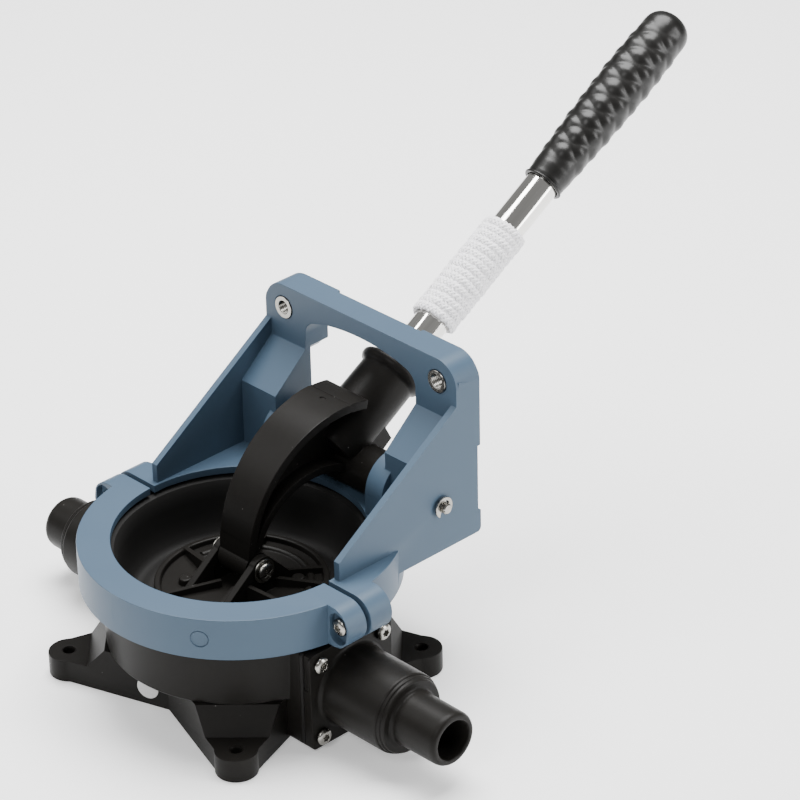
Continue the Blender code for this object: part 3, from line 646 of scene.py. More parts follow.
def make_label(paper):
    """Blank round label on the wall of the base, beside the waist between two feet."""
    start = Vector((0.0, -FOOT_WAIST, 0.0))
    foot = radians(225)
    to_foot = Vector((FOOT_AT * cos(foot), FOOT_AT * sin(foot), 0.0)) - start
    turn = atan2(to_foot.y, to_foot.x) + asin(FOOT_TIP_R / to_foot.length)
    along = Vector((cos(turn), sin(turn), 0.0))
    out = Vector((-along.y, along.x, 0.0))
    centre = start + along * 10.2 + Vector((0.0, 0.0, 9.0)) + out * 0.12
    label = turned([(0.0, -0.1), (5.2, -0.1), (5.3, 0.0), (5.2, 0.1), (0.0, 0.1)], MIDDLE,
                   frame_along(centre, out))
    finish(label, "blank_label", paper, "housing", weighted=False)


# ---- clamp ring and yoke

def ear(side, y0, y1):
    start, end = (90, -90) if side > 0 else (90, 270)
    outline = [(side * 69.2, EAR_Z + EAR_R)]
    outline += arc((side * EAR_X, EAR_Z), EAR_R, start, end, 28)
    outline += [(side * 69.2, EAR_Z - EAR_R)]
    return prism(outline, "Y", y0, y1)


def half_ring(y0, y1):
    """The ring without what lies between two distances along Y."""
    ring = turned([
        (RING_IN, SEAT_Z1), (RING_IN, RING_Z1), (RING_R, RING_Z1), (RING_R, RING_Z0),
        (RING_LIP, RING_Z0), (RING_LIP, SEAT_Z0), (SEAT_R, SEAT_Z0), (SEAT_R, SEAT_Z1),
    ], ROUND)
    return cut(ring, box(-90, 90, y0, y1, 40, 90))


def oval_mark(angle, sunk):
    """Shallow oval recess that a mould insert leaves on the outside of the ring."""
    turn = radians(angle)
    out = Vector((cos(turn), sin(turn), 0.0))
    at = out * (RING_R - sunk) + Vector((0.0, 0.0, RING_Z0 + 10.1))
    return rod(at, out, 3.9, 0.0, 5.0, 40)


def make_ring_front(skin):
    ring = half_ring(FRONT_SPLIT, 90)
    for side in (-1, 1):
        join(ring, ear(side, -EAR_FRONT, FRONT_SPLIT))
        cut(ring, rod((side * CLAMP_X, 0, EAR_Z), (0, 1, 0), CLAMP_BORE, -30.0, 10.0, SMALL))
        low, high = sorted((side * 71.5, side * 82.0))
        pocket = rounded_rectangle(low, high, EAR_Z - 7.6, EAR_Z + 7.6, 5.0, 10)
        cut(ring, prism(pocket, "Y", -EAR_FRONT - 5.0, -EAR_POCKET))
    for angle, sunk in ((-56.3, 0.35), (-89.5, 0.12)):
        cut(ring, oval_mark(angle, sunk))
    round_edges(ring, EDGE)
    finish(ring, "ring_front", skin, "housing", ["clamp_ring_front"])


def side_plate_outline():
    return [
        (2.6, RING_Z1 - 3.0), (2.6, 81.0), (YOKE_Y0 + 1.5, 129.6), (YOKE_Y0 + 1.5, 140.0),
        (YOKE_Y1, 136.0), (YOKE_Y1, YOKE_FOOT + 2.0), (YOKE_Y1 - 2.0, YOKE_FOOT),
        (38.0, YOKE_FOOT), (30.0, RING_Z1 - 6.0), (24.0, RING_Z1 - 3.0),
    ]


def portal_outline(inset=0.0):
    edge = YOKE_X - inset
    top = YOKE_TOP - inset
    radius = CORNER_R - inset
    points = [(-edge, YOKE_FOOT), (edge, YOKE_FOOT)]
    points += arc((edge - radius, top - radius), radius, 0, 90, 16)
    points += arc((radius - edge, top - radius), radius, 90, 180, 16)
    return points


def opening_outline():
    points = [(-OPEN_X, RING_Z1), (OPEN_X, RING_Z1)]
    points += arc((OPEN_X - 8.0, 128.0), 8.0, 0, 70, 12)
    for k in range(19):
        across = 24.0 - 48.0 * k / 18
        points.append((across, OPEN_TOP - 4.0 * (across / 30.0) ** 2))
    points += arc((8.0 - OPEN_X, 128.0), 8.0, 110, 180, 12)
    return points


def corner_pad(side):
    edge = side * (YOKE_X - CORNER_R)
    start, end = (0, 90) if side > 0 else (180, 90)
    points = [(side * YOKE_X, 104.0)]
    points += arc((edge, YOKE_TOP - CORNER_R), CORNER_R, start, end, 16)
    points += [(side * 26.5, YOKE_TOP), (side * 26.5, 138.6), (side * 33.5, 137.4)]
    start, end = (64, 10) if side > 0 else (116, 170)
    points += arc((side * 22.0, 99.0), 26.0, start, end, 16)
    return prism(points, "Y", YOKE_Y0 + 1.0, PAD_Y)


def make_yoke(skin):
    yoke = half_ring(-90, REAR_SPLIT)
    deck = box(-YOKE_X, YOKE_X, 22.0, YOKE_Y1, DECK_Z, RING_Z1)
    cut(deck, rod((0, 0, 0), (0, 0, 1), RING_IN + 6.0, 50.0, 90.0, ROUND))
    join(yoke, deck)
    portal = prism(portal_outline(), "Y", YOKE_Y0, YOKE_Y1)
    cut(portal, prism(portal_outline(YOKE_WALL), "Y", YOKE_Y0 + 3.0, YOKE_Y1 + 4.0))
    join(yoke, portal)
    for side in (-1, 1):
        join(yoke, slab(side_plate_outline(), side, YOKE_X - YOKE_WALL, YOKE_X))
        web = [(WEB_Y, RING_Z1 - 2.0), (WEB_Y, WEB_Z0), (YOKE_Y0 + 1.0, WEB_Z1),
               (YOKE_Y0 + 3.0, WEB_Z1), (YOKE_Y0 + 3.0, RING_Z1 - 2.0)]
        join(yoke, slab(web, side, OPEN_X, YOKE_X - 1.0))
        join(yoke, corner_pad(side))
        hollow = [(WEB_Y + 3.2, RING_Z1), (WEB_Y + 3.2, WEB_Z0 - 1.6),
                  (YOKE_Y0 - 3.0, WEB_Z1 - 6.0), (YOKE_Y1 + 5, WEB_Z1 - 6.0),
                  (YOKE_Y1 + 5, RING_Z1)]
        cut(yoke, slab(hollow, side, OPEN_X + 3.0, YOKE_X - YOKE_WALL))
        foot = [(YOKE_Y1 - 5.0, YOKE_FOOT), (YOKE_Y1 - 5.0, 71.0), (PAD_Y, 71.0)]
        foot += arc((PAD_Y - 2.2, YOKE_FOOT + 2.2), 2.2, 0, -90, 6)
        join(yoke, slab(foot, side, 44.0, YOKE_X))
        join(yoke, ear(side, REAR_SPLIT, EAR_Y))
    cut(yoke, prism(opening_outline(), "Y", WEB_Y - 5.0, PAD_Y + 5.0))
    cut(yoke, turned([
        (0.0, 40.0), (RING_LIP, 40.0), (RING_LIP, SEAT_Z0), (SEAT_R, SEAT_Z0),
        (SEAT_R, SEAT_Z1), (RING_IN, SEAT_Z1), (RING_IN, RING_Z1 + 1.0), (0.0, RING_Z1 + 1.0),
    ], ROUND))
    for side in (-1, 1):
        pillar = [(PIVOT[0] + BOSS_R, RING_Z1 - 2.0)] + arc(PIVOT, BOSS_R, 0, 180, 36)
        pillar += [(PIVOT[0] - BOSS_R, RING_Z1 - 2.0)]
        join(yoke, slab(pillar, side, BOSS_X + 1.5, OPEN_X + 4.0))
        boss = rod(PIVOT_AT, (side, 0, 0), 8.0, OPEN_X, YOKE_X - 1.0, 48)
        journal = rod(PIVOT_AT, (side, 0, 0), HUB_R, BOSS_X, BOSS_X + 6.0, 56)
        join(yoke, boss, journal)
    cut(yoke, rod(PIVOT_AT, (1, 0, 0), PIN_BORE, -80.0, 80.0, SMALL))
    for side in (-1, 1):
        at = (side * CLAMP_X, 0, EAR_Z)
        cut(yoke, rod(at, (0, 1, 0), CLAMP_BORE, -10.0, 30.0, SMALL))
        cut(yoke, rod(at, (0, 1, 0), 4.9, 8.0, 30.0, 6))
        at = (side * INSERT_X, 0, INSERT_Z)
        cut(yoke, rod(at, (0, 1, 0), 4.8, YOKE_Y0 - 5, PAD_Y + 5, 48))
        cut(yoke, rod(at, (0, 1, 0), 5.7, YOKE_Y0 - 5, YOKE_Y0 + 0.8, 48))
    round_edges(yoke, EDGE)
    finish(yoke, "yoke", skin, "housing", ["yoke_frame"])


# ---- fasteners

def star_recess(radius, points=6):
    """Outline of a six-lobed driver recess."""
    outline = []
    for k in range(points * 8):
        turn = 2 * pi * k / (points * 8)
        reach = radius * (0.86 + 0.14 * cos(points * turn))
        outline.append((reach * cos(turn), reach * sin(turn)))
    return outline


def cross_recess(radius, half):
    """Outline of a cross-shaped driver recess."""
    quarter = [(half, radius), (half, half), (radius, half)]
    outline = []
    for k in range(4):
        turn = -pi / 2 * k
        for x, y in quarter:
            outline.append((x * cos(turn) - y * sin(turn), x * sin(turn) + y * cos(turn)))
    return outline


def domed_head(head_r, head_h, shank_r, length):
    """Half section of a pan-head screw: shank, bearing face, rim and dome."""
    dome = [(head_r * cos(radians(a)) ** 0.8,
             head_h * (0.42 + 0.58 * sin(radians(a)))) for a in range(15, 90, 15)]
    return ([(0.0, -length), (shank_r - 0.4, -length), (shank_r, -length + 0.8), (shank_r, 0.0),
             (head_r * 0.96, 0.0), (head_r, head_h * 0.10), (head_r, head_h * 0.40)]
            + dome + [(0.0, head_h)])


def make_screw(name, node, origin, direction, size, recess, skin, body="housing", turn=0.0):
    """Pan-head screw with a driver recess, standing along a direction."""
    head_r, head_h, shank_r, length = size
    screw = turned(domed_head(head_r, head_h, shank_r, length), 48)
    cut(screw, prism(recess, "Z", head_h * 0.42, head_h + 2.0))
    round_edges(screw, 0.12, 50.0, 1)
    screw.data.transform(Matrix.Rotation(turn, 4, "Z"))
    screw.data.transform(frame_along(origin, direction))
    finish(screw, name, skin, body, [node])


def make_port_screws(skin):
    dice = random.Random(4)
    for side, label in ((1, "outlet"), (-1, "inlet")):
        for number, (_, y, z) in enumerate(port_screw_points(side), 1):
            at = (side * (PORT_FLANGE + 0.2), y, z)
            make_screw("%s_port_screw_%d" % (label, number), "%s_screw_%d" % (label, number), at,
                       (side, 0, 0), (3.9, 2.7, 1.6, 12.0), star_recess(1.9), skin,
                       turn=dice.uniform(0, pi))


def make_clamp_hardware(skin):
    for side, label in SIDES:
        at = (side * CLAMP_X, -EAR_POCKET - 0.3, EAR_Z)
        make_screw("clamp_bolt_" + label, "clamp_screw_" + label, at, (0, -1, 0),
                   (4.1, 2.8, 2.0, 22.7), star_recess(2.0), skin, turn=0.3 * side)
        hexagon = [(4.5, 8.5), (4.5, 11.6), (4.2, 11.9), (2.3, 11.9), (2.0, 11.5), (2.0, 8.5)]
        nut = turned(hexagon, 6, frame_along((side * CLAMP_X, 0, EAR_Z), (0, 1, 0)))
        round_edges(nut, 0.15, 40.0, 1)
        finish(nut, "hex_nut_" + label, skin, "housing", ["clamp_nut_" + label])


def make_link_hardware(skin):
    """Cross-head screws with plain washers that pin the lever between the lugs."""
    for side, label in SIDES:
        at = Vector((side * (LUG_OUT + 0.2), LINK[0], LINK[1]))
        ring = turned([(2.5, 0.0), (5.6, 0.0), (5.8, 0.2), (5.8, 0.7), (5.6, 0.9), (2.5, 0.9)],
                      MIDDLE, frame_along(at, (side, 0, 0)))
        finish(ring, "link_washer_" + label, skin, "plate")
        head = at + Vector((side * 1.0, 0, 0))
        make_screw("link_bolt_" + label, "link_screw_" + label, head, (side, 0, 0),
                   (4.3, 2.3, 2.4, 13.0), cross_recess(2.6, 0.5), skin, "plate", 0.5)


def make_inserts(skin):
    """Threaded metal inserts with a flat collar."""
    pitch, depth, radius = 1.0, 0.5, 3.0
    around, rows = 48, 112
    low, high = YOKE_Y0 - 0.35, YOKE_Y1
    points = []
    for i in range(rows + 1):
        y = low + (high - low) * i / rows
        for k in range(around):
            turn = 2 * pi * k / around
            wave = abs(((y - low) / pitch + k / around) % 1.0 - 0.5) * 2
            r = radius + depth * (1.0 if i in (0, rows) else wave)
            points.append((r * cos(turn), r * sin(turn), y))
    outer = [(4.5, high), (4.5, YOKE_Y0 + 0.4), (5.35, YOKE_Y0 + 0.4), (5.35, low + 0.15),
             (5.2, low)]
    for r, y in outer:
        points += circle(r, around, y)
    total = rows + 1 + len(outer)
    faces = []
    for i in range(total):
        faces += band(i * around, ((i + 1) % total) * around, around)
    for side, label in SIDES:
        insert = solid(points, faces)
        insert.data.transform(frame_along((side * INSERT_X, 0, INSERT_Z), (0, 1, 0)))
        finish(insert, "threaded_insert_" + label, skin, "housing",
               ["thread_insert_" + label])


def make_pin_and_clips(skin):
    end = box_mm("pivot_pin")[1].x
    groove = YOKE_X + 0.8
    half = [(PIN_R, 0.0), (PIN_R, YOKE_X + 0.4), (2.0, groove), (2.0, YOKE_X + 2.0),
            (2.5, YOKE_X + 2.0), (2.5, end - 0.6), (2.0, end)]
    profile = [(0.0, -end)] + [(r, -h) for r, h in reversed(half[1:])] + half[1:] + [(0.0, end)]
    pin = turned(profile, 48, frame_along(PIVOT_AT, (1, 0, 0)))
    finish(pin, "pin", skin, "housing", ["pivot_pin"])
    outline = arc((0, 0), 5.0, -58, 238, 44)
    outline += [(-2.3, -2.9), (-1.9, -1.6)] + arc((0, 0), 2.25, 215, 168, 6)
    outline += arc((0, 0), 3.4, 150, 112, 6) + arc((0, 0), 2.25, 106, 74, 4)
    outline += arc((0, 0), 3.4, 68, 30, 6) + arc((0, 0), 2.25, 12, -35, 6)
    outline += [(1.9, -1.6), (2.3, -2.9)]
    for side, label in SIDES:
        clip = slab([(PIVOT[0] + a, PIVOT[1] + b) for a, b in outline], side,
                    YOKE_X + 0.95, YOKE_X + 1.85)
        round_edges(clip, 0.14, 40.0, 1)
        finish(clip, "e_clip_" + label, skin, "housing", ["pivot_clip_" + label])


# ---- ports

def hollow_corner(radius, face, size):
    """Fillet of a section where a tube of this radius rises from a face."""
    return [(radius + size - size * sin(radians(a)),
             face + size - size * cos(radians(a))) for a in range(0, 91, 15)]


def make_port(side, label, end, bore, skin):
    port = slab(port_square(), side, PORT_FACE, PORT_FLANGE)
    place = frame_along((0, 0, PORT_Z), (side, 0, 0))
    fillet = hollow_corner(BIG_R, PORT_FLANGE, 2.0)
    root = hollow_corner(SMALL_R, SHOULDER_END, 1.8)
    join(port, turned([(0.0, PORT_FACE + 1.0), (BIG_R + 2.0, PORT_FACE + 1.0)] + fillet + [
        (BIG_R - 0.1, BIG_END - 1.2), (BIG_R - 0.3, BIG_END - 0.5), (BIG_R - 0.8, BIG_END),
        (STEP_R + 0.15, BIG_END), (STEP_R, BIG_END + 0.15), (STEP_R, STEP_END - 0.35),
        (STEP_R - 0.35, STEP_END), (SHOULDER_R + 0.15, STEP_END), (SHOULDER_R, STEP_END + 0.15),
        (SHOULDER_R, SHOULDER_END - 0.7), (SHOULDER_R - 0.2, SHOULDER_END - 0.2),
        (SHOULDER_R - 0.7, SHOULDER_END)] + root + [
        (SMALL_R - 0.1, end - 3.0), (SMALL_R - 0.4, end - 1.5), (SMALL_R - 1.0, end - 0.5),
        (SMALL_R - 1.9, end), (0.0, end),
    ], ROUND, place))
    cut(port, turned([
        (0.0, PORT_FACE - 5.0), (bore, PORT_FACE - 5.0), (bore, 96.0), (SMALL_BORE, 101.0),
        (SMALL_BORE, end - 0.5), (SMALL_BORE + 0.8, end + 0.3), (SMALL_BORE + 0.8, end + 5.0),
        (0.0, end + 5.0),
    ], MIDDLE, place))
    for _, y, z in port_screw_points(side):
        cut(port, rod((0, y, z), (side, 0, 0), 2.2, PORT_FACE - 5, PORT_FLANGE + 5, 16))
    step_low, step_high = sorted((side * (PORT_FACE - 1.0), side * (PORT_FLANGE - 1.6)))
    for dy in (-1, 1):
        low, high = sorted((dy * (PORT_HALF - 0.7), dy * (PORT_HALF + 3.0)))
        cut(port, box(step_low, step_high, low, high, PORT_Z + 6.0, PORT_Z + PORT_HALF + 1.0))
    round_edges(port, 0.35, 40.0)
    finish(port, label + "_tail", skin, "housing", [label + "_port"])


# ---- lever

def strip(centre, outer, inner, start, end, wide_start, wide_end, steps):
    points = []
    for k in range(steps + 1):
        share = k / steps
        turn = radians(start + (end - start) * share)
        half = wide_start + (wide_end - wide_start) * share
        for radius in (inner, outer):
            y = centre[0] + radius * cos(turn)
            z = centre[1] + radius * sin(turn)
            points += [(-half, y, z), (half, y, z)]
    faces = [(0, 1, 3, 2)]
    for k in range(steps):
        a, b = 4 * k, 4 * k + 4
        faces += [(a, a + 1, b + 1, b), (a + 2, a + 3, b + 3, b + 2),
                  (a, a + 2, b + 2, b), (a + 1, a + 3, b + 3, b + 1)]
    last = 4 * steps
    faces.append((last, last + 1, last + 3, last + 2))
    return solid(points, faces)


def make_lever(skin):
    oy, oz, orad = ARC_OUT
    iy, iz, irad = ARC_IN
    outline = arc((oy, oz), orad - 2.0, 178, 80, 60)
    outline += [(78.0, 108.0), (80.5, 92.0), (72.5, 84.0), (66.0, 76.5)]
    outline += arc((iy, iz), irad - 2.0, 40, 172, 50)
    lever = prism(outline, "X", -3.2, 3.2)
    join(lever, strip((oy, oz), orad, orad - 4.2, 183, 77, 9.2, 13.4, 72))
    join(lever, strip((iy, iz), irad, irad - 3.8, 172, 34, 8.8, 12.0, 60))
    join(lever, prism([(58.0, 98.0), (77.0, 99.0), (81.2, 91.0), (73.0, 85.0), (62.0, 80.0)],
                      "X", -12.6, 12.6))
    join(lever, rod(PIVOT_AT, (1, 0, 0), HUB_R, -HUB_X, HUB_X, MIDDLE))
    join(lever, rod(LINK_AT, (1, 0, 0), LINK_R, -9.2, 9.2, 56))
    place = handle_frame()
    join(lever, turned([
        (0.0, -4.0), (12.4, -4.0), (SOCKET_R, 0.0), (SOCKET_R - 0.4, SOCKET_END - 6.4),
        (SOCKET_R, SOCKET_END - 5.4), (SOCKET_R + 1.1, SOCKET_END - 4.6),
        (SOCKET_R + 1.8, SOCKET_END - 3.4), (SOCKET_R + 1.9, SOCKET_END - 2.0),
        (SOCKET_R + 1.5, SOCKET_END - 0.9), (SOCKET_R + 0.5, SOCKET_END - 0.2),
        (SOCKET_R - 1.0, SOCKET_END), (0.0, SOCKET_END),
    ], 96, place))
    cut(lever, turned([(0.0, 4.0), (SOCKET_BORE, 4.0), (SOCKET_BORE, SOCKET_END - 1.0),
                       (SOCKET_BORE + 1.2, SOCKET_END + 2.0), (0.0, SOCKET_END + 2.0)],
                      MIDDLE, place))
    cut(lever, rod(PIVOT_AT, (1, 0, 0), PIN_BORE, -40.0, 40.0, SMALL))
    cut(lever, rod(LINK_AT, (1, 0, 0), 4.8, -40.0, 40.0, SMALL))
    turn = radians(92)
    mark = Vector((0.0, oy + orad * cos(turn), oz + orad * sin(turn)))
    out = Vector((0.0, cos(turn), sin(turn)))
    oval = [(2.0 * cos(a * pi / 12), 1.1 * sin(a * pi / 12)) for a in range(24)]
    gate = prism(oval, "Z", -0.5, 3.0)
    gate.data.transform(frame_along(mark, out))
    cut(lever, gate)
    round_edges(lever, 0.5, 32.0)
    finish(lever, "lever", skin, "lever", ["lever_arm"])


# ---- diaphragm and plates

def make_bowl(skin):
    """Rubber diaphragm: bead under the ring, a plain cone and one rolling fold."""
    middle_line = [(58.5, 66.0), (56.6, 65.4), (55.7, 63.5), (55.2, 58.0), (54.7, 51.5),
                   (53.9, 46.5), (52.3, 42.0), (50.2, 39.6), (47.6, 38.9), (45.2, 39.5),
                   (43.2, 40.8), (41.0, 41.7), (38.5, 41.9), (24.0, 41.9), (9.5, 41.9)]
    half = 1.15
    upper = []
    lower = []
    for i, (r, z) in enumerate(middle_line):
        before = middle_line[max(i - 1, 0)]
        after = middle_line[min(i + 1, len(middle_line) - 1)]
        run = Vector((after[0] - before[0], after[1] - before[1])).normalized()
        upper.append((r + run.y * half, z - run.x * half))
        lower.append((r - run.y * half, z + run.x * half))
    bead = [(60.4, 61.0), (68.2, 61.0), (68.2, 66.6), (67.0, 68.1), (60.6, 68.1), (59.4, 66.6)]
    section = list(reversed(upper)) + list(reversed(bead)) + lower
    sheet = turned(section, ROUND)
    finish(sheet, "rubber_bowl", skin, "housing", ["diaphragm"], weighted=False)
    sheet.parent = None
    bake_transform(sheet)


def rib(start, end, high_start, high_end, half=1.1):
    """Straight upright rib between two points of the plate, with a sloping top."""
    a, b = Vector(start), Vector(end)
    run = b - a
    item = prism([(0.0, PLATE_Z1 - 0.6), (run.length, PLATE_Z1 - 0.6), (run.length, high_end),
                  (0.0, high_start)], "Y", -half, half)
    item.data.transform(Matrix.Translation((a.x, a.y, 0.0))
                        @ Matrix.Rotation(atan2(run.y, run.x), 4, "Z"))
    return item


def make_plate(skin):
    plate = turned([
        (0.0, PLATE_Z0), (PLATE_R - 0.6, PLATE_Z0), (PLATE_R, PLATE_Z0 + 0.6),
        (PLATE_R, RIM_Z - 0.5), (PLATE_R - 0.5, RIM_Z), (PLATE_R - 2.4, RIM_Z),
        (PLATE_R - 2.9, RIM_Z - 0.5), (PLATE_R - 3.1, PLATE_Z1), (0.0, PLATE_Z1),
    ], 120)
    slope = [(-23.0, PLATE_Z1 - 0.6), (-23.0, PLATE_Z1 + 1.2)] + arc(LINK, 6.6, 150, 44, 18)
    slope += [(20.0, PLATE_Z1 + 1.0), (20.0, PLATE_Z1 - 0.6)]
    for side in (-1, 1):
        join(plate, slab(slope, side, LUG_IN, LUG_OUT))
    for side in (-1, 1):
        join(plate, rib((side * 38.0, -0.4), (side * LUG_IN, -8.6), RIM_Z, 54.0))
        join(plate, rib((side * 16.0, -35.0), (side * 4.4, -8.4), RIM_Z, PLATE_Z1 + 3.6))
        join(plate, rib((side * 11.4, 16.8), (side * 19.6, 31.8), 50.4, RIM_Z))
        join(plate, rib((side * 12.6, 8.6), (side * 30.0, 22.6), 50.4, RIM_Z))
    ridge = turned([(28.4, PLATE_Z1 - 0.5), (32.6, PLATE_Z1 - 0.5), (31.8, PLATE_Z1 + 0.9),
                    (30.5, PLATE_Z1 + 1.3), (29.2, PLATE_Z1 + 0.9)], 120)
    cut(ridge, prism([(-40, -40), (40, -40), (40, 4), (0, 0), (-40, 4)], "Z", 40.0, 60.0))
    join(plate, ridge)
    for index in range(4):
        join(plate, turned([(0.0, PLATE_Z1 - 1.0), (3.4, PLATE_Z1 - 1.0), (3.0, PLATE_Z1 + 2.6),
                            (2.5, PLATE_Z1 + 3.1), (0.0, PLATE_Z1 + 3.1)], 40,
                           on_diagonal(index, PLATE_SCREW_AT)))
    for side in (-1, 1):
        cut(plate, rod(LINK_AT, (side, 0, 0), 2.7, 5.0, 20.0, SMALL))
    round_edges(plate, 0.35, 32.0)
    finish(plate, "ribbed_plate", skin, "plate", ["clamp_plate_upper"])


# ---- handle

def grip_radius(s):
    """Radius of the grip along its axis, before the pattern."""
    stops = [(156.0, 9.1), (158.0, 9.4), (164.0, 9.9), (176.0, 10.6), (192.0, 11.4),
             (208.0, 11.9), (222.0, 12.2), (234.0, 12.0), (244.0, 11.6), (249.0, 11.3)]
    if s <= stops[0][0]:
        return stops[0][1]
    for (s0, r0), (s1, r1) in zip(stops, stops[1:]):
        if s <= s1:
            share = (s - s0) / (s1 - s0)
            share = share * share * (3 - 2 * share)
            return r0 + (r1 - r0) * share
    rest = min(1.0, (s - stops[-1][0]) / (GRIP_END - stops[-1][0]))
    return stops[-1][1] * sqrt(max(0.0, 1.0 - rest ** 2.5))


def make_grip(skin):
    """Vinyl grip with rows of soft raised diamonds and a thin lip at its mouth."""
    around, rows = 144, 300
    diamonds, pitch, depth = 4, 9.8, 0.9
    points = []
    for i in range(rows + 1):
        s = GRIP_START + (GRIP_END - GRIP_START) * (i / rows) ** 0.93
        base = grip_radius(s)
        fade = min(1.0, max(0.0, (s - GRIP_START - 7.0) / 10.0))
        fade *= min(1.0, max(0.0, (GRIP_END - 8.0 - s) / 10.0))
        for k in range(around):
            turn = 2 * pi * k / around
            u = diamonds * (k / around + 0.045)
            v = (s - GRIP_START) / pitch + 0.5
            hill = (sin(pi * (u + v)) * sin(pi * (u - v))) ** 2
            r = base + fade * depth * (sqrt(hill + 0.045) - 0.6)
            points.append((r * cos(turn), r * sin(turn), s))
    points += circle(GRIP_BORE, around, TUBE_END + 0.3) + circle(GRIP_BORE, around, GRIP_START)
    faces = []
    for i in range(rows):
        faces += band(i * around, (i + 1) * around, around)
    first, second = (rows + 1) * around, (rows + 2) * around
    faces += band(first, second, around) + band(0, second, around)
    faces.append(tuple(range(first, first + around)))
    grip = solid(points, faces)
    form = bmesh.new()
    form.from_mesh(grip.data)
    bmesh.ops.remove_doubles(form, verts=form.verts, dist=0.003)
    bmesh.ops.recalc_face_normals(form, faces=form.faces)
    form.to_mesh(grip.data)
    form.free()
    lip = turned([(8.4, 155.2), (9.5, 155.0), (9.9, 155.4), (9.9, 155.9), (9.5, 156.3),
                  (8.4, 156.1)], 96)
    join(grip, lip)
    grip.data.transform(handle_frame())
    finish(grip, "grip", skin, "handle", ["handle_grip"], smooth=60.0, weighted=False)


def make_tube(skin):
    tube = turned([
        (6.8, TUBE_START), (TUBE_R - 0.4, TUBE_START), (TUBE_R, TUBE_START + 0.5),
        (TUBE_R, TUBE_END), (6.8, TUBE_END),
    ], 128, handle_frame())
    finish(tube, "tube", skin, "handle", ["handle_tube"], weighted=False)


def winding_point(turns, share, place):
    """Centre of the lanyard and the direction away from the tube."""
    width = 3.8
    low = WRAP_START + width / 2
    high = WRAP_END - width / 2
    turn = 2 * pi * turns * share
    wander = 0.22 * sin(3.1 * turn / 2 + 0.7) + 0.15 * sin(0.83 * turn)
    s = low + (high - low) * share + wander * min(1.0, 12 * share, 12 * (1 - share))
    radius = TUBE_R + 0.2 + 1.25 + 0.1 * sin(1.7 * turn)
    out = Vector((cos(turn), sin(turn), 0.0))
    point = out * radius + Vector((0.0, 0.0, s))
    return place @ point, (place.to_3x3() @ out).normalized()


def make_lanyard(skin):
    """Soft braided cord wound in close turns round the tube; its strands cross over."""
    turns, strands, sides = 15, 8, 6
    dice = random.Random(7)
    place = handle_frame()
    steps = turns * 90
    line = [winding_point(turns, i / steps, place) for i in range(steps + 1)]
    half_wide, half_high, strand_r, lay = 1.60, 0.80, 0.54, 7.6
    slack_step = 7
    points = []
    faces = []
    length = 0.0
    lengths = [0.0]
    for (a, _), (b, _) in zip(line, line[1:]):
        length += (b - a).length
        lengths.append(length)
    for strand in range(strands):
        way = 1 if strand % 2 == 0 else -1
        phase = 2 * pi * (strand // 2) / (strands / 2)
        base = len(points)
        path = []
        slack = [dice.uniform(-0.24, 0.24) for _ in range(steps // slack_step + 2)]
        for i, (centre, out) in enumerate(line):
            ahead = line[min(i + 1, steps)][0] - line[max(i - 1, 0)][0]
            ahead.normalize()
            across = ahead.cross(out)
            turn = way * 2 * pi * lengths[i] / lay + phase
            over = 1.0 + 0.2 * way * cos(4 * turn)
            knot, share = divmod(i / slack_step, 1.0)
            over += slack[int(knot)] * (1 - share) + slack[int(knot) + 1] * share
            path.append(centre + across * half_wide * cos(turn) * over
                        + out * half_high * sin(turn) * over)
        for i, centre in enumerate(path):
            ahead = (path[min(i + 1, steps)] - path[max(i - 1, 0)]).normalized()
            side = ahead.cross(line[i][1]).normalized()
            up = side.cross(ahead)
            for k in range(sides):
                turn = 2 * pi * k / sides
                points.append(centre + side * strand_r * 1.25 * cos(turn)
                              + up * strand_r * sin(turn))
        for i in range(steps):
            faces += band(base + i * sides, base + (i + 1) * sides, sides)
        faces.append(tuple(range(base, base + sides)))
        faces.append(tuple(range(base + steps * sides, base + (steps + 1) * sides)))
    cord = solid([tuple(p) for p in points], faces)
    finish(cord, "lanyard", skin, "handle", ["lanyard_wrap"], smooth=80.0,
           weighted=False)


# ---- stage

def make_camera():
    """Camera at the viewing angle: azimuth and elevation in degrees, distance in metres."""
    azimuth, elevation, roll = radians(46.503), radians(29.636), radians(-1.28)
    target = Vector((0.0, 0.098888, 0.098274))
    distance = 1.743596
    back = Vector((sin(azimuth) * cos(elevation), -cos(azimuth) * cos(elevation), sin(elevation)))
    right = Vector((cos(azimuth), sin(azimuth), 0.0))
    up = back.cross(right)
    turned_right = right * cos(roll) + up * sin(roll)
    turned_up = up * cos(roll) - right * sin(roll)
    camera = bpy.data.objects.new("camera", bpy.data.cameras.new("camera"))
    camera.data.lens = 173.705
    camera.data.sensor_width = 36.0
    camera.data.clip_start = 0.1
    camera.data.clip_end = 50.0
    rotation = Matrix((turned_right, turned_up, back)).transposed().to_4x4()
    camera.matrix_world = Matrix.Translation(target + back * distance) @ rotation
    bpy.context.scene.collection.objects.link(camera)
    bpy.context.scene.camera = camera


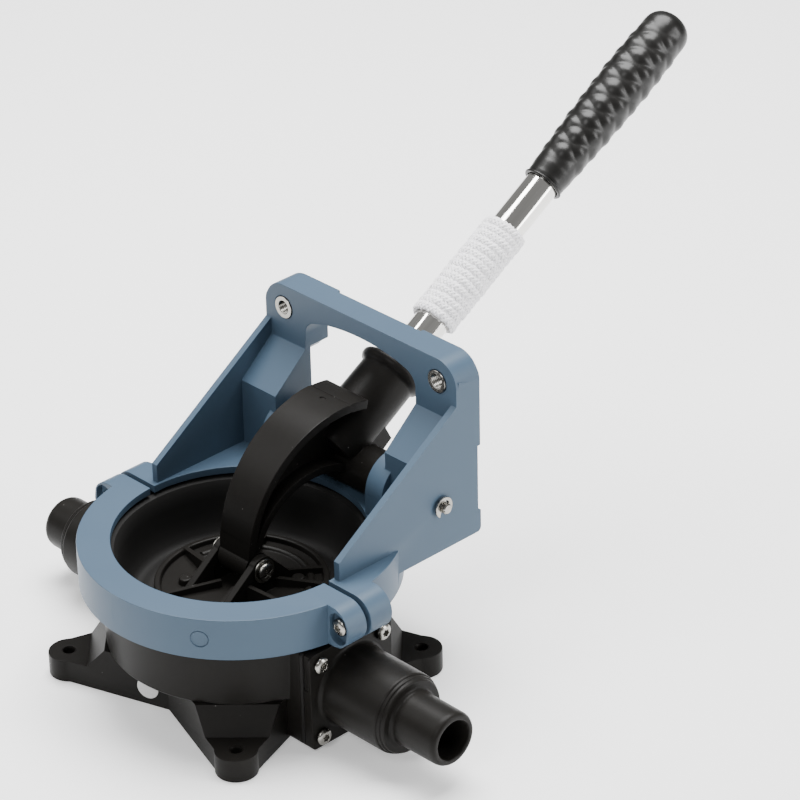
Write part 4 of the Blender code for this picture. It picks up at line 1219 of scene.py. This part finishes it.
def area_light(name, place, aim, size, power):
    light = bpy.data.lights.new(name, "AREA")
    light.shape = "RECTANGLE"
    light.size, light.size_y = size
    light.energy = power
    item = bpy.data.objects.new(name, light)
    item.location = place
    item.rotation_mode = "QUATERNION"
    item.rotation_quaternion = (Vector(place) - Vector(aim)).to_track_quat("Z", "Y")
    bpy.context.scene.collection.objects.link(item)


def make_stage():
    paper = floor_paper()
    floor = prism(arc((0.0, 0.0), 6.0, 0, 360, 96)[:-1], "Z", -0.02, 0.0)
    floor.name = "floor"
    floor.data.materials.append(paper)
    world = bpy.data.worlds.new("studio")
    bpy.context.scene.world = world
    world.use_nodes = True
    world.node_tree.nodes["Background"].inputs["Color"].default_value = (1.0, 1.0, 1.0, 1.0)
    world.node_tree.nodes["Background"].inputs["Strength"].default_value = 0.30
    aim = (0.0, 0.03, 0.06)
    area_light("softbox_top", (-0.25, 0.35, 1.5), aim, (1.3, 1.0), 74.0)
    area_light("softbox_left", (-1.0, -0.8, 1.25), aim, (0.9, 0.9), 9.0)
    area_light("softbox_right", (1.25, 0.75, 0.55), aim, (0.4, 1.0), 16.0)
    area_light("fill_front", (0.5, -1.3, 1.4), aim, (0.6, 0.6), 12.0)


# ---- assembly

def main():
    make_camera()
    make_stage()
    black = black_plastic()
    blue = blue_plastic()
    rubber = black_rubber()
    bright = steel("stainless_steel", 0.18, 0.32, (0.33, 0.32, 0.295))
    make_body(black)
    make_label(label_paper())
    make_ring_front(blue)
    make_yoke(blue)
    make_port(1, "outlet", OUTLET_END, SWING_BORE, black)
    make_port(-1, "inlet", INLET_END, SEAT_BORE, black)
    make_port_screws(bright)
    make_clamp_hardware(bright)
    make_inserts(bright)
    make_pin_and_clips(bright)
    make_lever(black)
    make_bowl(rubber)
    make_plate(black)
    make_link_hardware(bright)
    make_grip(grip_vinyl())
    make_tube(polished_tube())
    make_lanyard(white_cord())
    hidden = {"outlet_gasket": rubber, "inlet_gasket": rubber, "outlet_flap": rubber,
              "inlet_flap": rubber, "clamp_plate_lower": black}
    hidden.update({"plate_screw_%d" % number: bright for number in (1, 2, 3, 4)})
    for node, skin in hidden.items():
        frame["nodes"][node].data.materials.clear()
        frame["nodes"][node].data.materials.append(skin)


main()
